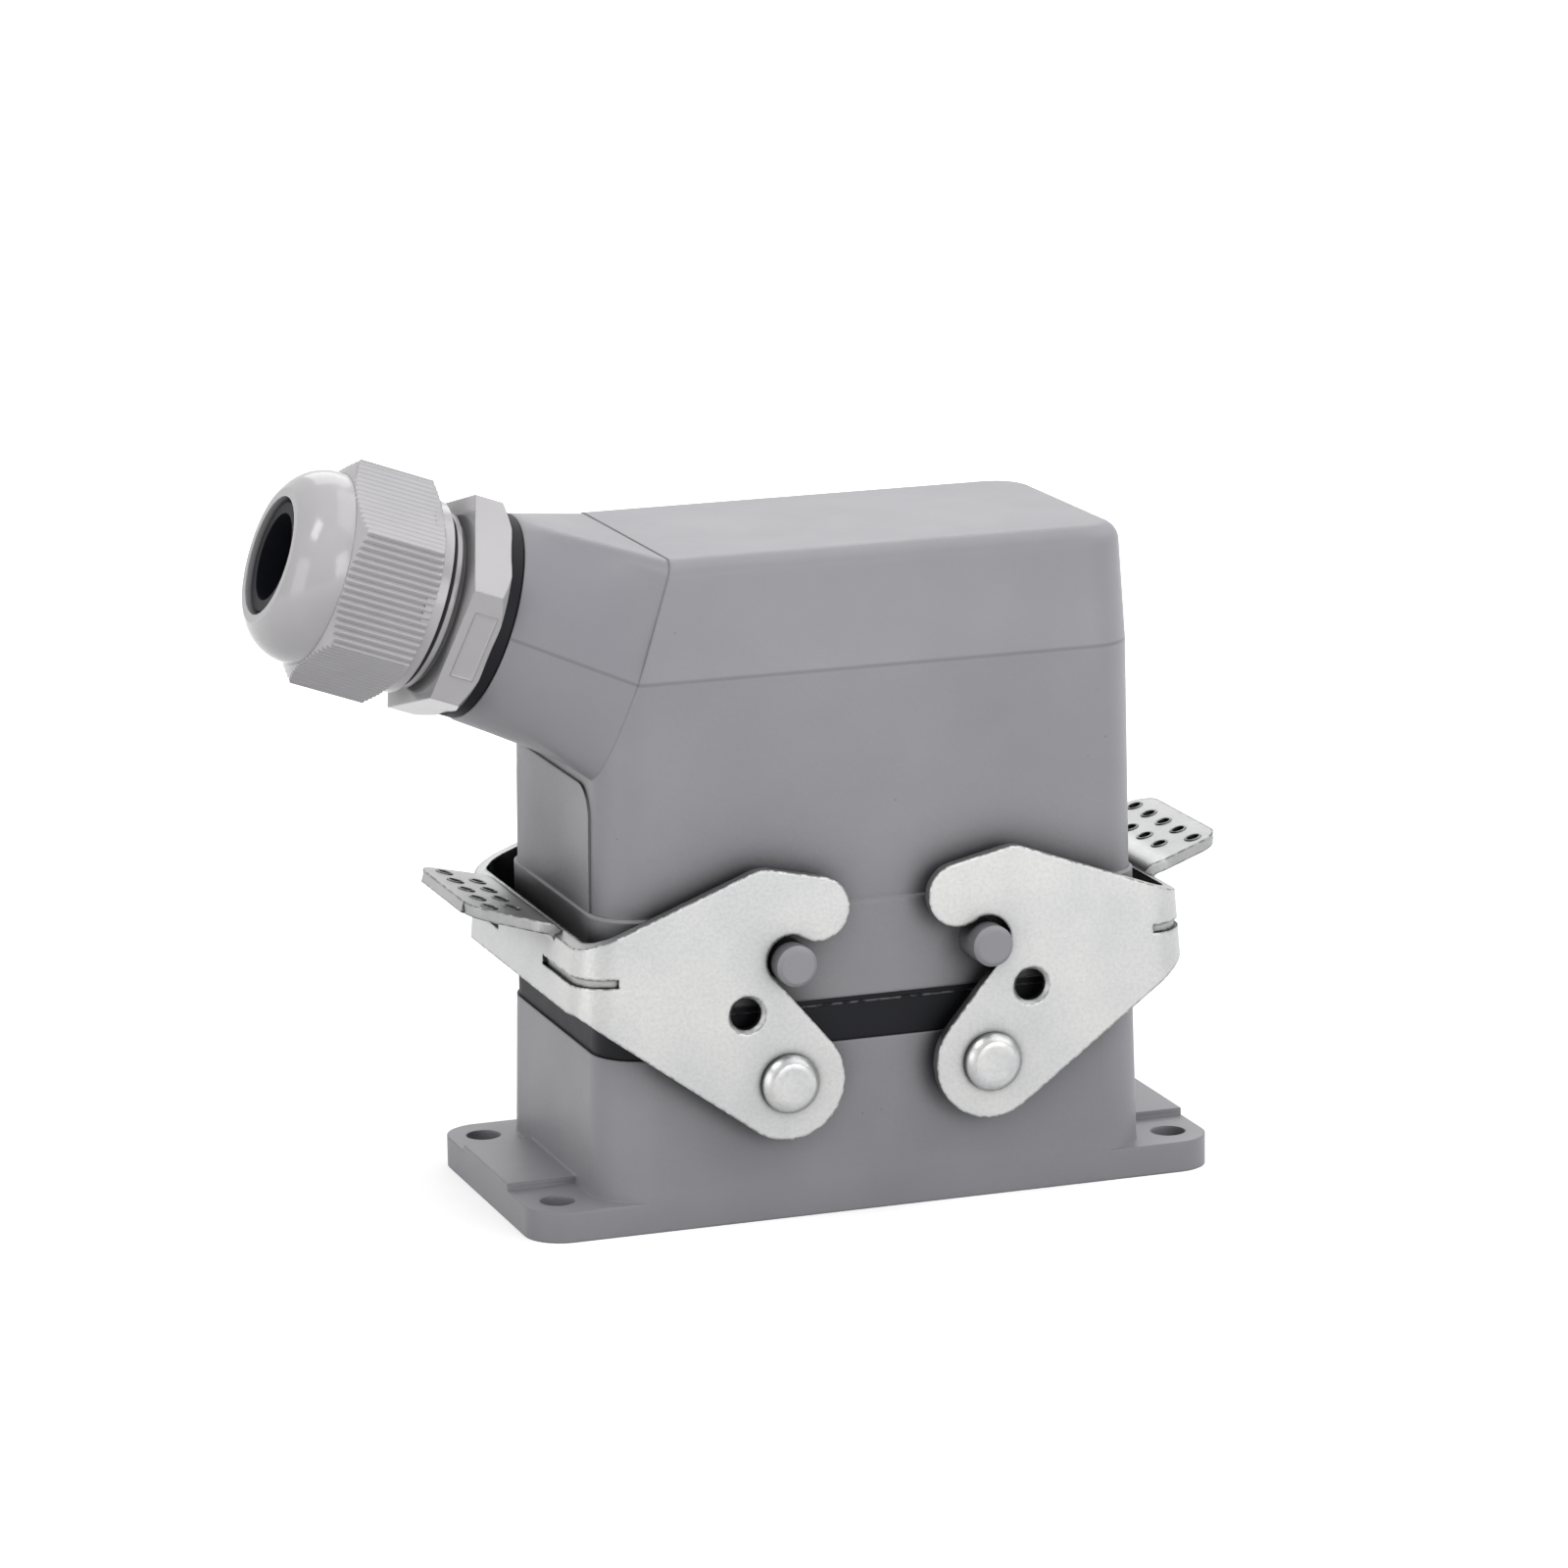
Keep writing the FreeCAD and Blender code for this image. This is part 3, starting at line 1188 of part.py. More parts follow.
def build_contacts():
    """The turned sockets in the base insert and the pins in the hood insert."""
    barrel = S.contact_bore / 2
    hollow = S.contact_pin_bore / 2 + S.contact_play
    lead = S.contact_lead
    mouth = PLUG_TOP - lead
    well_foot = PIN_TIP - 2 * lead
    socket = turned([(0.0, SOCKET_FOOT), (barrel, SOCKET_FOOT), (barrel, mouth),
                     (hollow + lead * 0.7, mouth), (hollow, mouth - lead), (hollow, well_foot),
                     (0.0, well_foot)])
    pin = S.contact_pin_bore / 2
    root = PIN_EAR_FOOT - lead
    top = PIN_BLOCK_TOP - S.contact_top_cover
    blade = turned([(0.0, PIN_TIP), (pin * 0.5, PIN_TIP), (pin, PIN_TIP + 2 * lead), (pin, root),
                    (barrel, root), (barrel, top), (0.0, top)])
    group("socket_contacts", [placed(socket, x, y) for x, y in contact_spots()])
    group("pin_contacts", [placed(blade, x, y) for x, y in contact_spots()])


def build_terminal_screws(label, level):
    """The screws that clamp the wires, in from both long faces of a block."""
    seat = BLOCK_WIDTH / 2 - S.terminal_sink - S.terminal_head_thick
    grip = seat - S.contact_rows / 2 - S.contact_bore / 2 - 0.05
    screw = screw_solid(S.terminal_shank_bore, S.terminal_head_bore, S.terminal_head_thick, grip)
    solids = []
    for side in (-1, 1):
        turn = Rotation(Vector(1, 0, 0), -90 * side)
        for column in range(5):
            solids.append(placed(screw, (column - 2) * S.contact_pitch, side * seat, level, turn))
    group(label, solids)


def build_insert_screws(label, level, upward):
    """The four captive screws that hold an insert to its lugs."""
    grip = S.ear_thick + S.insert_screw_grip
    screw = screw_solid(S.insert_screw_bore, S.insert_screw_head, S.insert_screw_head_thick, grip)
    turn = Rotation(Vector(1, 0, 0), 180) if upward else Rotation()
    spots = [(x * INSERT_PITCH_X / 2, y * INSERT_PITCH_Y / 2) for x, y in corner_signs()]
    group(label, [placed(screw, x, y, level, turn) for x, y in spots])


def build_earth_parts(prefix, level):
    """The two earth plates on an insert's ears and their screws."""
    length = S.earth_plate_length.number
    width = S.earth_plate_width.number
    plate = Part.makeBox(length, width, S.earth_plate_thick.number, Vector(-length / 2, -width / 2, 0))
    hole = Part.makeCylinder(S.earth_screw_bore.number / 2 + 0.1, S.earth_plate_thick.number)
    plate = plate.cut(hole)
    screw = screw_solid(S.earth_screw_bore, S.earth_screw_head, S.earth_screw_head_thick,
                        S.earth_plate_thick + S.earth_screw_grip)
    spots = [side * INSERT_PITCH_X / 2 for side in (-1, 1)]
    group(prefix + "_earth_plates", [placed(plate, x, 0.0, level) for x in spots])
    group(prefix + "_earth_screws", [placed(screw, x, 0.0, level + S.earth_plate_thick) for x in spots])


# Cable gland: built along local Z, then set on the neck's end face

def on_neck(body):
    """Sets a gland piece on the neck's end face, along the neck's axis."""
    body.Placement = neck_frame(S.neck_length.number)
    return body


def ring_section(body, name, points, cut=False):
    """Turns a half section of a gland piece about its axis."""
    sketch = new_sketch(body, name + "_half_section", "XZ_Plane")
    polygon(sketch, points)
    return revolve(body, name, sketch, cut)


def build_gland_washer():
    """The flat seal between the neck and the gland's flange."""
    body = new_body("gland_washer")
    inner = S.neck_thread_bore / 2
    outer = S.washer_bore / 2
    ring_section(body, "ring", [(inner, 0.0), (outer, 0.0),
                                (outer, S.washer_thick), (inner, S.washer_thick)])
    return on_neck(body)


def build_gland_body():
    """The gland's fixed half: spigot, hexagonal flange, collar and threaded nose."""
    body = new_body("gland_body")
    seat = S.washer_thick
    spigot = S.neck_thread_bore / 2 - S.seat_gap
    throat = S.gland_throat_bore / 2
    collar = S.gland_collar_bore / 2
    recess = S.gland_recess_bore / 2
    nose = S.gland_nose_bore / 2
    pocket_wall = S.claw_bore / 2 + 2 * S.running_gap
    hexagon = new_sketch(body, "flange_outline", "XY_Plane", seat)
    regular_polygon(hexagon, 6, S.gland_flange_flats.number / math.sqrt(3), S.gland_flange_turn.number)
    pad(body, "flange", hexagon, S.gland_flange_thick)
    bevel = S.gland_bevel_bore / 2
    beyond = 2 * S.gland_flange_flats / math.sqrt(3) - bevel
    ring_section(body, "rear_bevel", [(bevel, seat), (beyond, seat),
                                      (beyond, seat + 2 * S.gland_bevel_thick)], cut=True)
    ring_section(body, "turned_core", [
        (throat, -S.gland_spigot), (spigot, -S.gland_spigot), (spigot, seat + 1.0), (recess, seat + 1.0),
        (recess, GLAND_FLANGE_FRONT + S.gland_recess), (collar, GLAND_FLANGE_FRONT + S.gland_recess),
        (collar, GLAND_COLLAR_FRONT), (nose, GLAND_COLLAR_FRONT), (nose, GLAND_NOSE_FRONT),
        (pocket_wall, GLAND_NOSE_FRONT), (pocket_wall, CLAW_SEAT), (throat, CLAW_SEAT)])
    core = new_sketch(body, "throat_outline", "XY_Plane", GLAND_NOSE_FRONT)
    circle(core, 0.0, 0.0, S.gland_throat_bore)
    pocket(body, "throat", core)
    return on_neck(body)


def build_gland_claw():
    """The slotted clamping basket that the nut squeezes round the seal."""
    body = new_body("gland_claw")
    outer = S.claw_bore / 2
    inner = outer - S.claw_wall
    ring_section(body, "basket", [(inner, CLAW_SEAT + S.running_gap), (outer, CLAW_SEAT + S.running_gap),
                                  (outer, CLAW_FRONT - S.claw_tip),
                                  (outer - S.claw_tip * 0.6, CLAW_FRONT),
                                  (inner, CLAW_FRONT)])
    slots = new_sketch(body, "slot_outline", "XY_Plane", CLAW_FRONT)
    half = S.claw_slot / 2
    rectangle(slots, -S.claw_bore, S.claw_bore, -half, half)
    pocket(body, "slot", slots, S.claw_length - S.claw_root)
    cut = body.Tip
    pattern = body.newObject("PartDesign::PolarPattern", "gland_claw_slots")
    pattern.Originals = [cut]
    pattern.Axis = (slots, ["N_Axis"])
    count = S.claw_slots.number
    pattern.Mode = "Extent"
    pattern.Angle = 180.0 * (count - 1) / count
    pattern.Occurrences = int(count)
    body.Tip = pattern
    doc.recompute()
    return on_neck(body)


def build_gland_seal():
    """The rubber sleeve that closes round the cable."""
    body = new_body("gland_seal")
    outer = S.claw_bore / 2 - S.claw_wall - S.running_gap
    inner = outer - S.seal_sleeve_wall
    foot = CLAW_SEAT + S.running_gap
    ring_section(body, "sleeve", [(inner, foot), (outer, foot), (outer, SLEEVE_FRONT),
                                  (inner, SLEEVE_FRONT)])
    return on_neck(body)


def ribbed_hexagon(sketch, corner_reach, ribs_per_flat, depth):
    """A hexagon whose flats carry fine upright ribs, with corners up and down."""
    points = []
    corners = [math.radians(60.0 * step) for step in range(7)]
    ends = [(corner_reach * math.cos(a), corner_reach * math.sin(a)) for a in corners]
    for (x_low, y_low), (x_high, y_high) in zip(ends, ends[1:]):
        length = math.hypot(x_high - x_low, y_high - y_low)
        inward = ((y_low - y_high) / length * depth, (x_high - x_low) / length * depth)
        points.append((x_low, y_low))
        for rib in range(ribs_per_flat):
            share = (rib + 0.5) / ribs_per_flat
            x_mid = x_low + (x_high - x_low) * share
            y_mid = y_low + (y_high - y_low) * share
            points.append((x_mid + inward[0], y_mid + inward[1]))
            if rib < ribs_per_flat - 1:
                share = (rib + 1.0) / ribs_per_flat
                points.append((x_low + (x_high - x_low) * share, y_low + (y_high - y_low) * share))
    spots = [spot(x, y) for x, y in points]
    outline(sketch, [Part.LineSegment(low, high) for low, high in zip(spots, spots[1:] + spots[:1])])


def build_gland_nut():
    """The domed nut: round skirt, ribbed hexagon, dome and cone inside."""
    body = new_body("gland_nut")
    flats = S.nut_corners.number / 2 * math.cos(math.pi / 6)
    hexagon = new_sketch(body, "hexagon_outline", "XY_Plane", NUT_HEX_REAR)
    ribbed_hexagon(hexagon, S.nut_corners.number / 2, int(S.ribs_per_flat.number), S.rib_depth.number)
    pad(body, "hexagon", hexagon, NUT_HEX_FRONT + S.nut_front_run - NUT_HEX_REAR)
    skirt = S.nut_skirt_bore / 2
    beyond = S.nut_corners - skirt
    ring_section(body, "front_bevel", [
        (skirt, NUT_HEX_FRONT + S.nut_front_run), (beyond, NUT_HEX_FRONT + S.nut_front_run),
        (beyond, NUT_HEX_FRONT + S.nut_front_run - 2 * S.nut_front_bevel)], cut=True)
    bevel = S.nut_bevel_bore / 2
    beyond = S.nut_corners - bevel
    ring_section(body, "rear_bevel", [(bevel, NUT_HEX_REAR), (beyond, NUT_HEX_REAR),
                                      (beyond, NUT_HEX_REAR + 2 * S.nut_bevel)], cut=True)
    lip = S.nut_mouth_bore / 2 + S.nut_lip
    thread = S.gland_nose_bore / 2 + S.running_gap
    mouth = S.nut_mouth_bore / 2
    dome = new_sketch(body, "dome_half_section", "XZ_Plane")
    rear = NUT_REAR.number
    low = spot(0, rear)
    skirt_low = spot(skirt.number, rear)
    skirt_top = spot(skirt.number, NUT_HEX_REAR.number + 1.0)
    waist_low = spot(flats - S.rib_depth.number, NUT_HEX_REAR.number + 1.0)
    waist = spot(flats - S.rib_depth.number, NUT_HEX_FRONT.number)
    front = spot(lip.number, NUT_FRONT.number)
    peak = spot(0, NUT_FRONT.number)
    rise = NUT_FRONT.number - NUT_HEX_FRONT.number
    swell = spot(waist.x - (waist.x - front.x) * 0.24, waist.y + rise * 0.66)
    outline(dome, [Part.LineSegment(low, skirt_low), Part.LineSegment(skirt_low, skirt_top),
                   Part.LineSegment(skirt_top, waist_low), Part.LineSegment(waist_low, waist),
                   Part.Arc(waist, swell, front), Part.LineSegment(front, peak), Part.LineSegment(peak, low)])
    revolve(body, "dome", dome)
    ring_section(body, "thread_bore", [(0.0, rear - 1.0), (thread, rear - 1.0), (thread, NUT_CONE_REAR),
                                       (S.claw_bore / 2 + 3 * S.running_gap, NUT_CONE_REAR + S.nut_cone_run),
                                       (S.claw_bore / 2 + 3 * S.running_gap, CLAW_FRONT + 0.3),
                                       (mouth, CLAW_FRONT + 1.2), (mouth, NUT_FRONT + 1.0),
                                       (0.0, NUT_FRONT + 1.0)], cut=True)
    return on_neck(body)


build_base_housing()
build_flange_gasket()
build_mating_seal()
build_hood()
build_lever("lever_right", 0)
build_lever("lever_left", 180)
for end, side_x in (("left", -1), ("right", 1)):
    for face, side_y in (("front", -1), ("rear", 1)):
        build_pivot_pin("pivot_pin_" + end + "_" + face, side_x, side_y)
build_socket_insert()
build_pin_insert()
build_contacts()
build_terminal_screws("socket_terminal_screws", SOCKET_TERMINAL_LEVEL)
build_terminal_screws("pin_terminal_screws", PIN_TERMINAL_LEVEL)
build_insert_screws("socket_insert_screws", PLUG_SEAT, upward=False)
build_insert_screws("pin_insert_screws", PIN_EAR_FOOT, upward=True)
build_earth_parts("base", PLUG_SEAT)
build_earth_parts("hood", HOOD_LUG_FOOT)
build_gland_washer()
build_gland_body()
build_gland_claw()
build_gland_seal()
build_gland_nut()

# Final checks, then one file for each node
doc.recompute()
for item in doc.Objects:
    if "Invalid" in item.State or "Error" in item.State:
        raise ValueError(item.Label + " is " + ", ".join(item.State))

os.makedirs("parts", exist_ok=True)
nodes = [item for item in doc.Objects if item.isDerivedFrom("PartDesign::Body")]
nodes += [item for item in doc.Objects if item.TypeId == "Part::Feature"]
for item in nodes:
    if item.Shape.isNull() or not item.Shape.isValid() or not item.Shape.Solids:
        raise ValueError(item.Label + " has no valid shape")
    item.Shape.exportStep("parts/" + item.Label + ".step")
    print(item.Label, len(item.Shape.Solids), round(item.Shape.Volume, 2))
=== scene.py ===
"""Heavy duty rectangular connector: finishes, small trim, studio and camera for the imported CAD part."""

import logging
import math
from collections.abc import Iterable, Mapping
from dataclasses import dataclass, field
from enum import Enum
from itertools import product

import bmesh
import bpy
from mathutils import Matrix, Quaternion, Vector

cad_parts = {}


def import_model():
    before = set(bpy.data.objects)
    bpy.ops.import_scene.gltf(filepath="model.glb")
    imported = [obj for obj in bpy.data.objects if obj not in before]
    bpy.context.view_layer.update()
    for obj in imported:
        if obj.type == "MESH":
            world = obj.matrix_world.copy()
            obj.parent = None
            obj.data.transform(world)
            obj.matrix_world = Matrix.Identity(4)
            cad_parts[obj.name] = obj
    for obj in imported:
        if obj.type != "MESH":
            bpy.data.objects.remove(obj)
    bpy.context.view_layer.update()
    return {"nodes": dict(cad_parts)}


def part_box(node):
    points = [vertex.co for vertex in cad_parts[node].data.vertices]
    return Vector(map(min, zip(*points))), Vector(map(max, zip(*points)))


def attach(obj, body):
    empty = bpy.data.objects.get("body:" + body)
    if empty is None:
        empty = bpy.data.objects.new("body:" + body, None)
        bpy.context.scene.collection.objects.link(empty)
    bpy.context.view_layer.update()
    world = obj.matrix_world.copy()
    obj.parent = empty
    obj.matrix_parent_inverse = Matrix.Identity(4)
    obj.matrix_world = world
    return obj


LOG = logging.getLogger("connector")
MM = 0.001
# The colour mix node gives several sockets the same name, so these are the numbers of the ones in use.
MIX_SHARE, MIX_FIRST, MIX_SECOND, MIX_RESULT = 0, 6, 7, 2
BLACK = (0.0, 0.0, 0.0, 1.0)
WHITE = (1.0, 1.0, 1.0, 1.0)
BEVEL_SAMPLES = 6
OCCLUSION_SAMPLES = 8
# Points nearer to each other than this, in metres, become one.
WELD_DISTANCE = 1e-7

Tree = bpy.types.NodeTree
Socket = bpy.types.NodeSocket


# Colours and nodes


def linear(hex_colour: str) -> tuple[float, float, float, float]:
    """Turns an sRGB hex colour into linear values.

    Args:
        hex_colour: Six hex digits after a number sign.

    Returns:
        Red, green, blue and alpha for a shader socket.
    """
    parts = [int(hex_colour[place:place + 2], 16) / 255 for place in (1, 3, 5)]
    red, green, blue = [
        part / 12.92 if part <= 0.04045 else ((part + 0.055) / 1.055) ** 2.4 for part in parts
    ]
    return red, green, blue, 1.0


def add_node(
    tree: Tree,
    kind: str,
    values: Mapping[str | int, object] | None = None,
    links: Mapping[str | int, Socket] | None = None,
    **settings: object,
) -> bpy.types.Node:
    """Adds one node with its settings, socket values and incoming links.

    Args:
        tree: The material's or world's node tree.
        kind: The node's type name.
        values: Socket values by name or number.
        links: Sockets of other nodes by the name or number of the socket they feed.
        **settings: The node's own properties.

    Returns:
        The new node.
    """
    node = tree.nodes.new(kind)
    for name, value in settings.items():
        setattr(node, name, value)
    for name, value in (values or {}).items():
        node.inputs[name].default_value = value
    for name, socket in (links or {}).items():
        tree.links.new(socket, node.inputs[name])
    return node


def per_metre(size_mm: float) -> float:
    """Turns the size of a pattern's grain in millimetres into a texture scale."""
    return 1.0 / (size_mm * MM)


# Finishes


@dataclass(frozen=True)
class Finish:
    """What every finish of the connector has.

    Attributes:
        name: The real material and how its surface was made.
        colour: Its own colour as an sRGB hex value.
        shade: The darker tone that it drifts towards.
        roughness: The middle of its roughness.
        drift_mm: Size of the slow change of tone.
        grain_mm: Size of the surface's grain.
        grain_depth_mm: Height of that grain.
        edge_mm: Radius that softens its edges.
        gap_mm: How near another surface has to be for shade to be painted on this one.
        gap_shade: How dark the painted shade gets in a narrow gap, from 0 to 1.
        gap_open: How open a place is, from 0 to 1, where that shade begins.
        gap_closed: How open it is where the shade is full.
        foot_mm: Heights between which the shade grows from the foot's share to all of it.
        foot_share: The share of the shade that the foot keeps.
        drift_ends: The noise's values where the tone is all colour and all shade.
        gloss_swing: How far the roughness strays from its middle.
        gloss_size: Size of the patches where it does, as a share of the drift's.
    """

    name: str
    colour: str
    shade: str
    roughness: float
    drift_mm: float
    grain_mm: float
    grain_depth_mm: float
    edge_mm: float
    gap_mm: float
    gap_shade: float
    gap_open: float
    gap_closed: float = 0.35
    foot_mm: tuple[float, float] = (5.0, 16.0)
    foot_share: float = 0.3
    drift_ends: tuple[float, float] = (0.36, 0.64)
    gloss_swing: float = 0.05
    gloss_size: float = 0.4

    def build(self) -> bpy.types.Material:
        """Makes the finish's material.

        Returns:
            A material whose shader reads Object coordinates in metres.
        """
        material = bpy.data.materials.new(self.name)
        material.use_nodes = True
        tree = material.node_tree
        tree.nodes.clear()
        place = add_node(tree, "ShaderNodeTexCoord").outputs["Object"]
        # Shade in gaps and inner corners is painted into the colour.
        colour = self.paint_gap_shade(tree, place, self.paint(tree, place))
        shader = add_node(
            tree,
            "ShaderNodeBsdfPrincipled",
            links={
                "Base Color": colour,
                "Roughness": self.gloss(tree, place),
                "Normal": self.relief(tree, place),
            },
        )
        self.set_shader(shader)
        add_node(tree, "ShaderNodeOutputMaterial", links={"Surface": shader.outputs[0]})
        return material

    def paint(self, tree: Tree, place: Socket) -> Socket:
        """Mixes the finish's two tones in slow drifts.

        Args:
            tree: The material's node tree.
            place: The Object coordinates.

        Returns:
            The colour's socket.
        """
        drift = add_node(
            tree,
            "ShaderNodeTexNoise",
            {"Scale": per_metre(self.drift_mm), "Detail": 3.0, "Roughness": 0.55},
            {"Vector": place},
        )
        start, end = self.drift_ends
        spread = add_node(
            tree, "ShaderNodeMapRange", {"From Min": start, "From Max": end}, {"Value": drift.outputs["Fac"]}
        )
        mix = add_node(
            tree,
            "ShaderNodeMix",
            {MIX_FIRST: linear(self.colour), MIX_SECOND: linear(self.shade)},
            {MIX_SHARE: spread.outputs[0]},
            data_type="RGBA",
        )
        return mix.outputs[MIX_RESULT]

    def paint_gap_shade(self, tree: Tree, place: Socket, colour: Socket) -> Socket:
        """Paints shade into the colour in gaps and inner corners, where nearby surfaces block the light.

        Args:
            tree: The material's node tree.
            place: The Object coordinates.
            colour: The colour of the open surface.

        Returns:
            The colour's socket.
        """
        reach = self.gap_mm * MM
        room = add_node(
            tree, "ShaderNodeAmbientOcclusion", {"Distance": reach}, samples=OCCLUSION_SAMPLES
        )
        share = add_node(
            tree,
            "ShaderNodeMapRange",
            {
                "From Min": self.gap_closed,
                "From Max": self.gap_open,
                "To Min": self.gap_shade,
                "To Max": 0.0,
            },
            {"Value": room.outputs["AO"]},
        )
        # The floor counts as a near surface too, so the painted shade is kept weaker towards the foot.
        low, high = self.foot_mm
        axes = add_node(tree, "ShaderNodeSeparateXYZ", links={0: place})
        foot = add_node(
            tree,
            "ShaderNodeMapRange",
            {"From Min": low * MM, "From Max": high * MM, "To Min": self.foot_share},
            {"Value": axes.outputs["Z"]},
        )
        kept = add_node(
            tree, "ShaderNodeMath", links={0: share.outputs[0], 1: foot.outputs[0]}, operation="MULTIPLY"
        )
        mix = add_node(
            tree,
            "ShaderNodeMix",
            {MIX_SECOND: BLACK},
            {MIX_SHARE: kept.outputs[0], MIX_FIRST: colour},
            data_type="RGBA",
        )
        return mix.outputs[MIX_RESULT]

    def gloss(self, tree: Tree, place: Socket) -> Socket:
        """Varies the roughness a little from place to place.

        Args:
            tree: The material's node tree.
            place: The Object coordinates.

        Returns:
            The roughness's socket.
        """
        patches = add_node(
            tree,
            "ShaderNodeTexNoise",
            {"Scale": per_metre(self.drift_mm * self.gloss_size), "Detail": 2.0},
            {"Vector": place},
        )
        spread = add_node(
            tree,
            "ShaderNodeMapRange",
            {"To Min": self.roughness - self.gloss_swing, "To Max": self.roughness + self.gloss_swing},
            {"Value": patches.outputs["Fac"]},
        )
        return spread.outputs["Result"]

    def relief(self, tree: Tree, place: Socket) -> Socket:
        """Softens the edges and lays the surface's grain over them.

        Args:
            tree: The material's node tree.
            place: The Object coordinates.

        Returns:
            The normal's socket.
        """
        edges = add_node(tree, "ShaderNodeBevel", {"Radius": self.edge_mm * MM}, samples=BEVEL_SAMPLES)
        grain = add_node(
            tree,
            "ShaderNodeTexNoise",
            {"Scale": per_metre(self.grain_mm), "Detail": 2.0},
            {"Vector": place},
        )
        bump = add_node(
            tree,
            "ShaderNodeBump",
            {"Strength": 1.0, "Distance": self.grain_depth_mm * MM},
            {"Height": grain.outputs["Fac"], "Normal": edges.outputs[0]},
        )
        return bump.outputs[0]

    def set_shader(self, shader: bpy.types.Node) -> None:
        """Sets what is the same all over the surface."""
        shader.inputs["IOR"].default_value = 1.5


@dataclass(frozen=True)
class PowderCoat(Finish):
    """Epoxy powder coat on die-cast aluminium: matt, with a soft orange peel and a few dark specks.

    Attributes:
        speck: Colour of the specks and of the painted crease shade.
        speck_mm: Spacing of the cells that may hold one.
        speck_edge: Where a speck begins and stops to fade, as shares of its cell.
        speck_chance: The share of the cells that hold no speck.
        speck_share: How strongly a speck shows.
        line_start: Length and height, in millimetres, where the line turns up along the neck.
        line_end: Where it meets the neck's round end.
        line_shade: How dark that line is, from 0 to 1.
        line_mm: Half widths of its dark core and of its soft edge.
    """

    speck: str = "#5F5D61"
    speck_mm: float = 2.6
    speck_edge: tuple[float, float] = (0.03, 0.07)
    speck_chance: float = 0.89
    speck_share: float = 0.5
    line_start: tuple[float, float] = (-31.13, 70.2)
    line_end: tuple[float, float] = (-45.34, 75.89)
    line_shade: float = 0.4
    line_mm: tuple[float, float] = (0.1, 0.34)

    def paint(self, tree: Tree, place: Socket) -> Socket:
        """Adds scattered specks to the coat's drifting tone, then the painted shade along the crease.

        Args:
            tree: The material's node tree.
            place: The Object coordinates.

        Returns:
            The colour's socket.
        """
        base = super().paint(tree, place)
        cells = add_node(
            tree,
            "ShaderNodeTexVoronoi",
            {"Scale": per_metre(self.speck_mm)},
            {"Vector": place},
            feature="F1",
        )
        chance = add_node(tree, "ShaderNodeSeparateColor", links={0: cells.outputs["Color"]})
        # A speck reaches about a twentieth of its cell, 0.13 mm, and one cell in nine has one.
        core, edge = self.speck_edge
        near = add_node(
            tree,
            "ShaderNodeMapRange",
            {"From Min": core, "From Max": edge, "To Min": 1.0, "To Max": 0.0},
            {"Value": cells.outputs["Distance"]},
        )
        rare = add_node(
            tree,
            "ShaderNodeMath",
            {1: self.speck_chance},
            {0: chance.outputs[0]},
            operation="GREATER_THAN",
        )
        both = add_node(
            tree, "ShaderNodeMath", links={0: near.outputs[0], 1: rare.outputs[0]}, operation="MULTIPLY"
        )
        soft = add_node(
            tree, "ShaderNodeMath", {1: self.speck_share}, {0: both.outputs[0]}, operation="MULTIPLY"
        )
        mix = add_node(
            tree,
            "ShaderNodeMix",
            {MIX_SECOND: linear(self.speck)},
            {MIX_SHARE: soft.outputs[0], MIX_FIRST: base},
            data_type="RGBA",
        )
        return self.paint_crease_shade(tree, place, mix.outputs[MIX_RESULT])

    def paint_crease_shade(self, tree: Tree, place: Socket, base: Socket) -> Socket:
        """Paints a dark line of shade along the crease where the hood's walls begin to lean in, on along the
        neck's sides.

        Args:
            tree: The material's node tree.
            place: The Object coordinates.
            base: The coat's colour.

        Returns:
            The colour's socket.
        """
        axes = add_node(tree, "ShaderNodeSeparateXYZ", links={0: place})
        start = Vector(self.line_start) * MM
        run = Vector(self.line_end) * MM - start
        back = add_node(tree, "ShaderNodeMath", {1: start.x}, {0: axes.outputs["X"]}, operation="SUBTRACT")
        on_neck = add_node(tree, "ShaderNodeMath", {1: 0.0}, {0: back.outputs[0]}, operation="MINIMUM")
        climb = add_node(
            tree,
            "ShaderNodeMath",
            {1: run.y / run.x, 2: start.y},
            {0: on_neck.outputs[0]},
            operation="MULTIPLY_ADD",
        )
        rise = add_node(
            tree, "ShaderNodeMath", links={0: axes.outputs["Z"], 1: climb.outputs[0]}, operation="SUBTRACT"
        )
        off = add_node(tree, "ShaderNodeMath", links={0: rise.outputs[0]}, operation="ABSOLUTE")
        core, edge = self.line_mm
        line = add_node(
            tree,
            "ShaderNodeMapRange",
            {"From Min": core * MM, "From Max": edge * MM, "To Min": self.line_shade, "To Max": 0.0},
            {"Value": off.outputs[0]},
        )
        mix = add_node(
            tree,
            "ShaderNodeMix",
            {MIX_SECOND: linear(self.speck)},
            {MIX_SHARE: line.outputs[0], MIX_FIRST: base},
            data_type="RGBA",
        )
        return mix.outputs[MIX_RESULT]


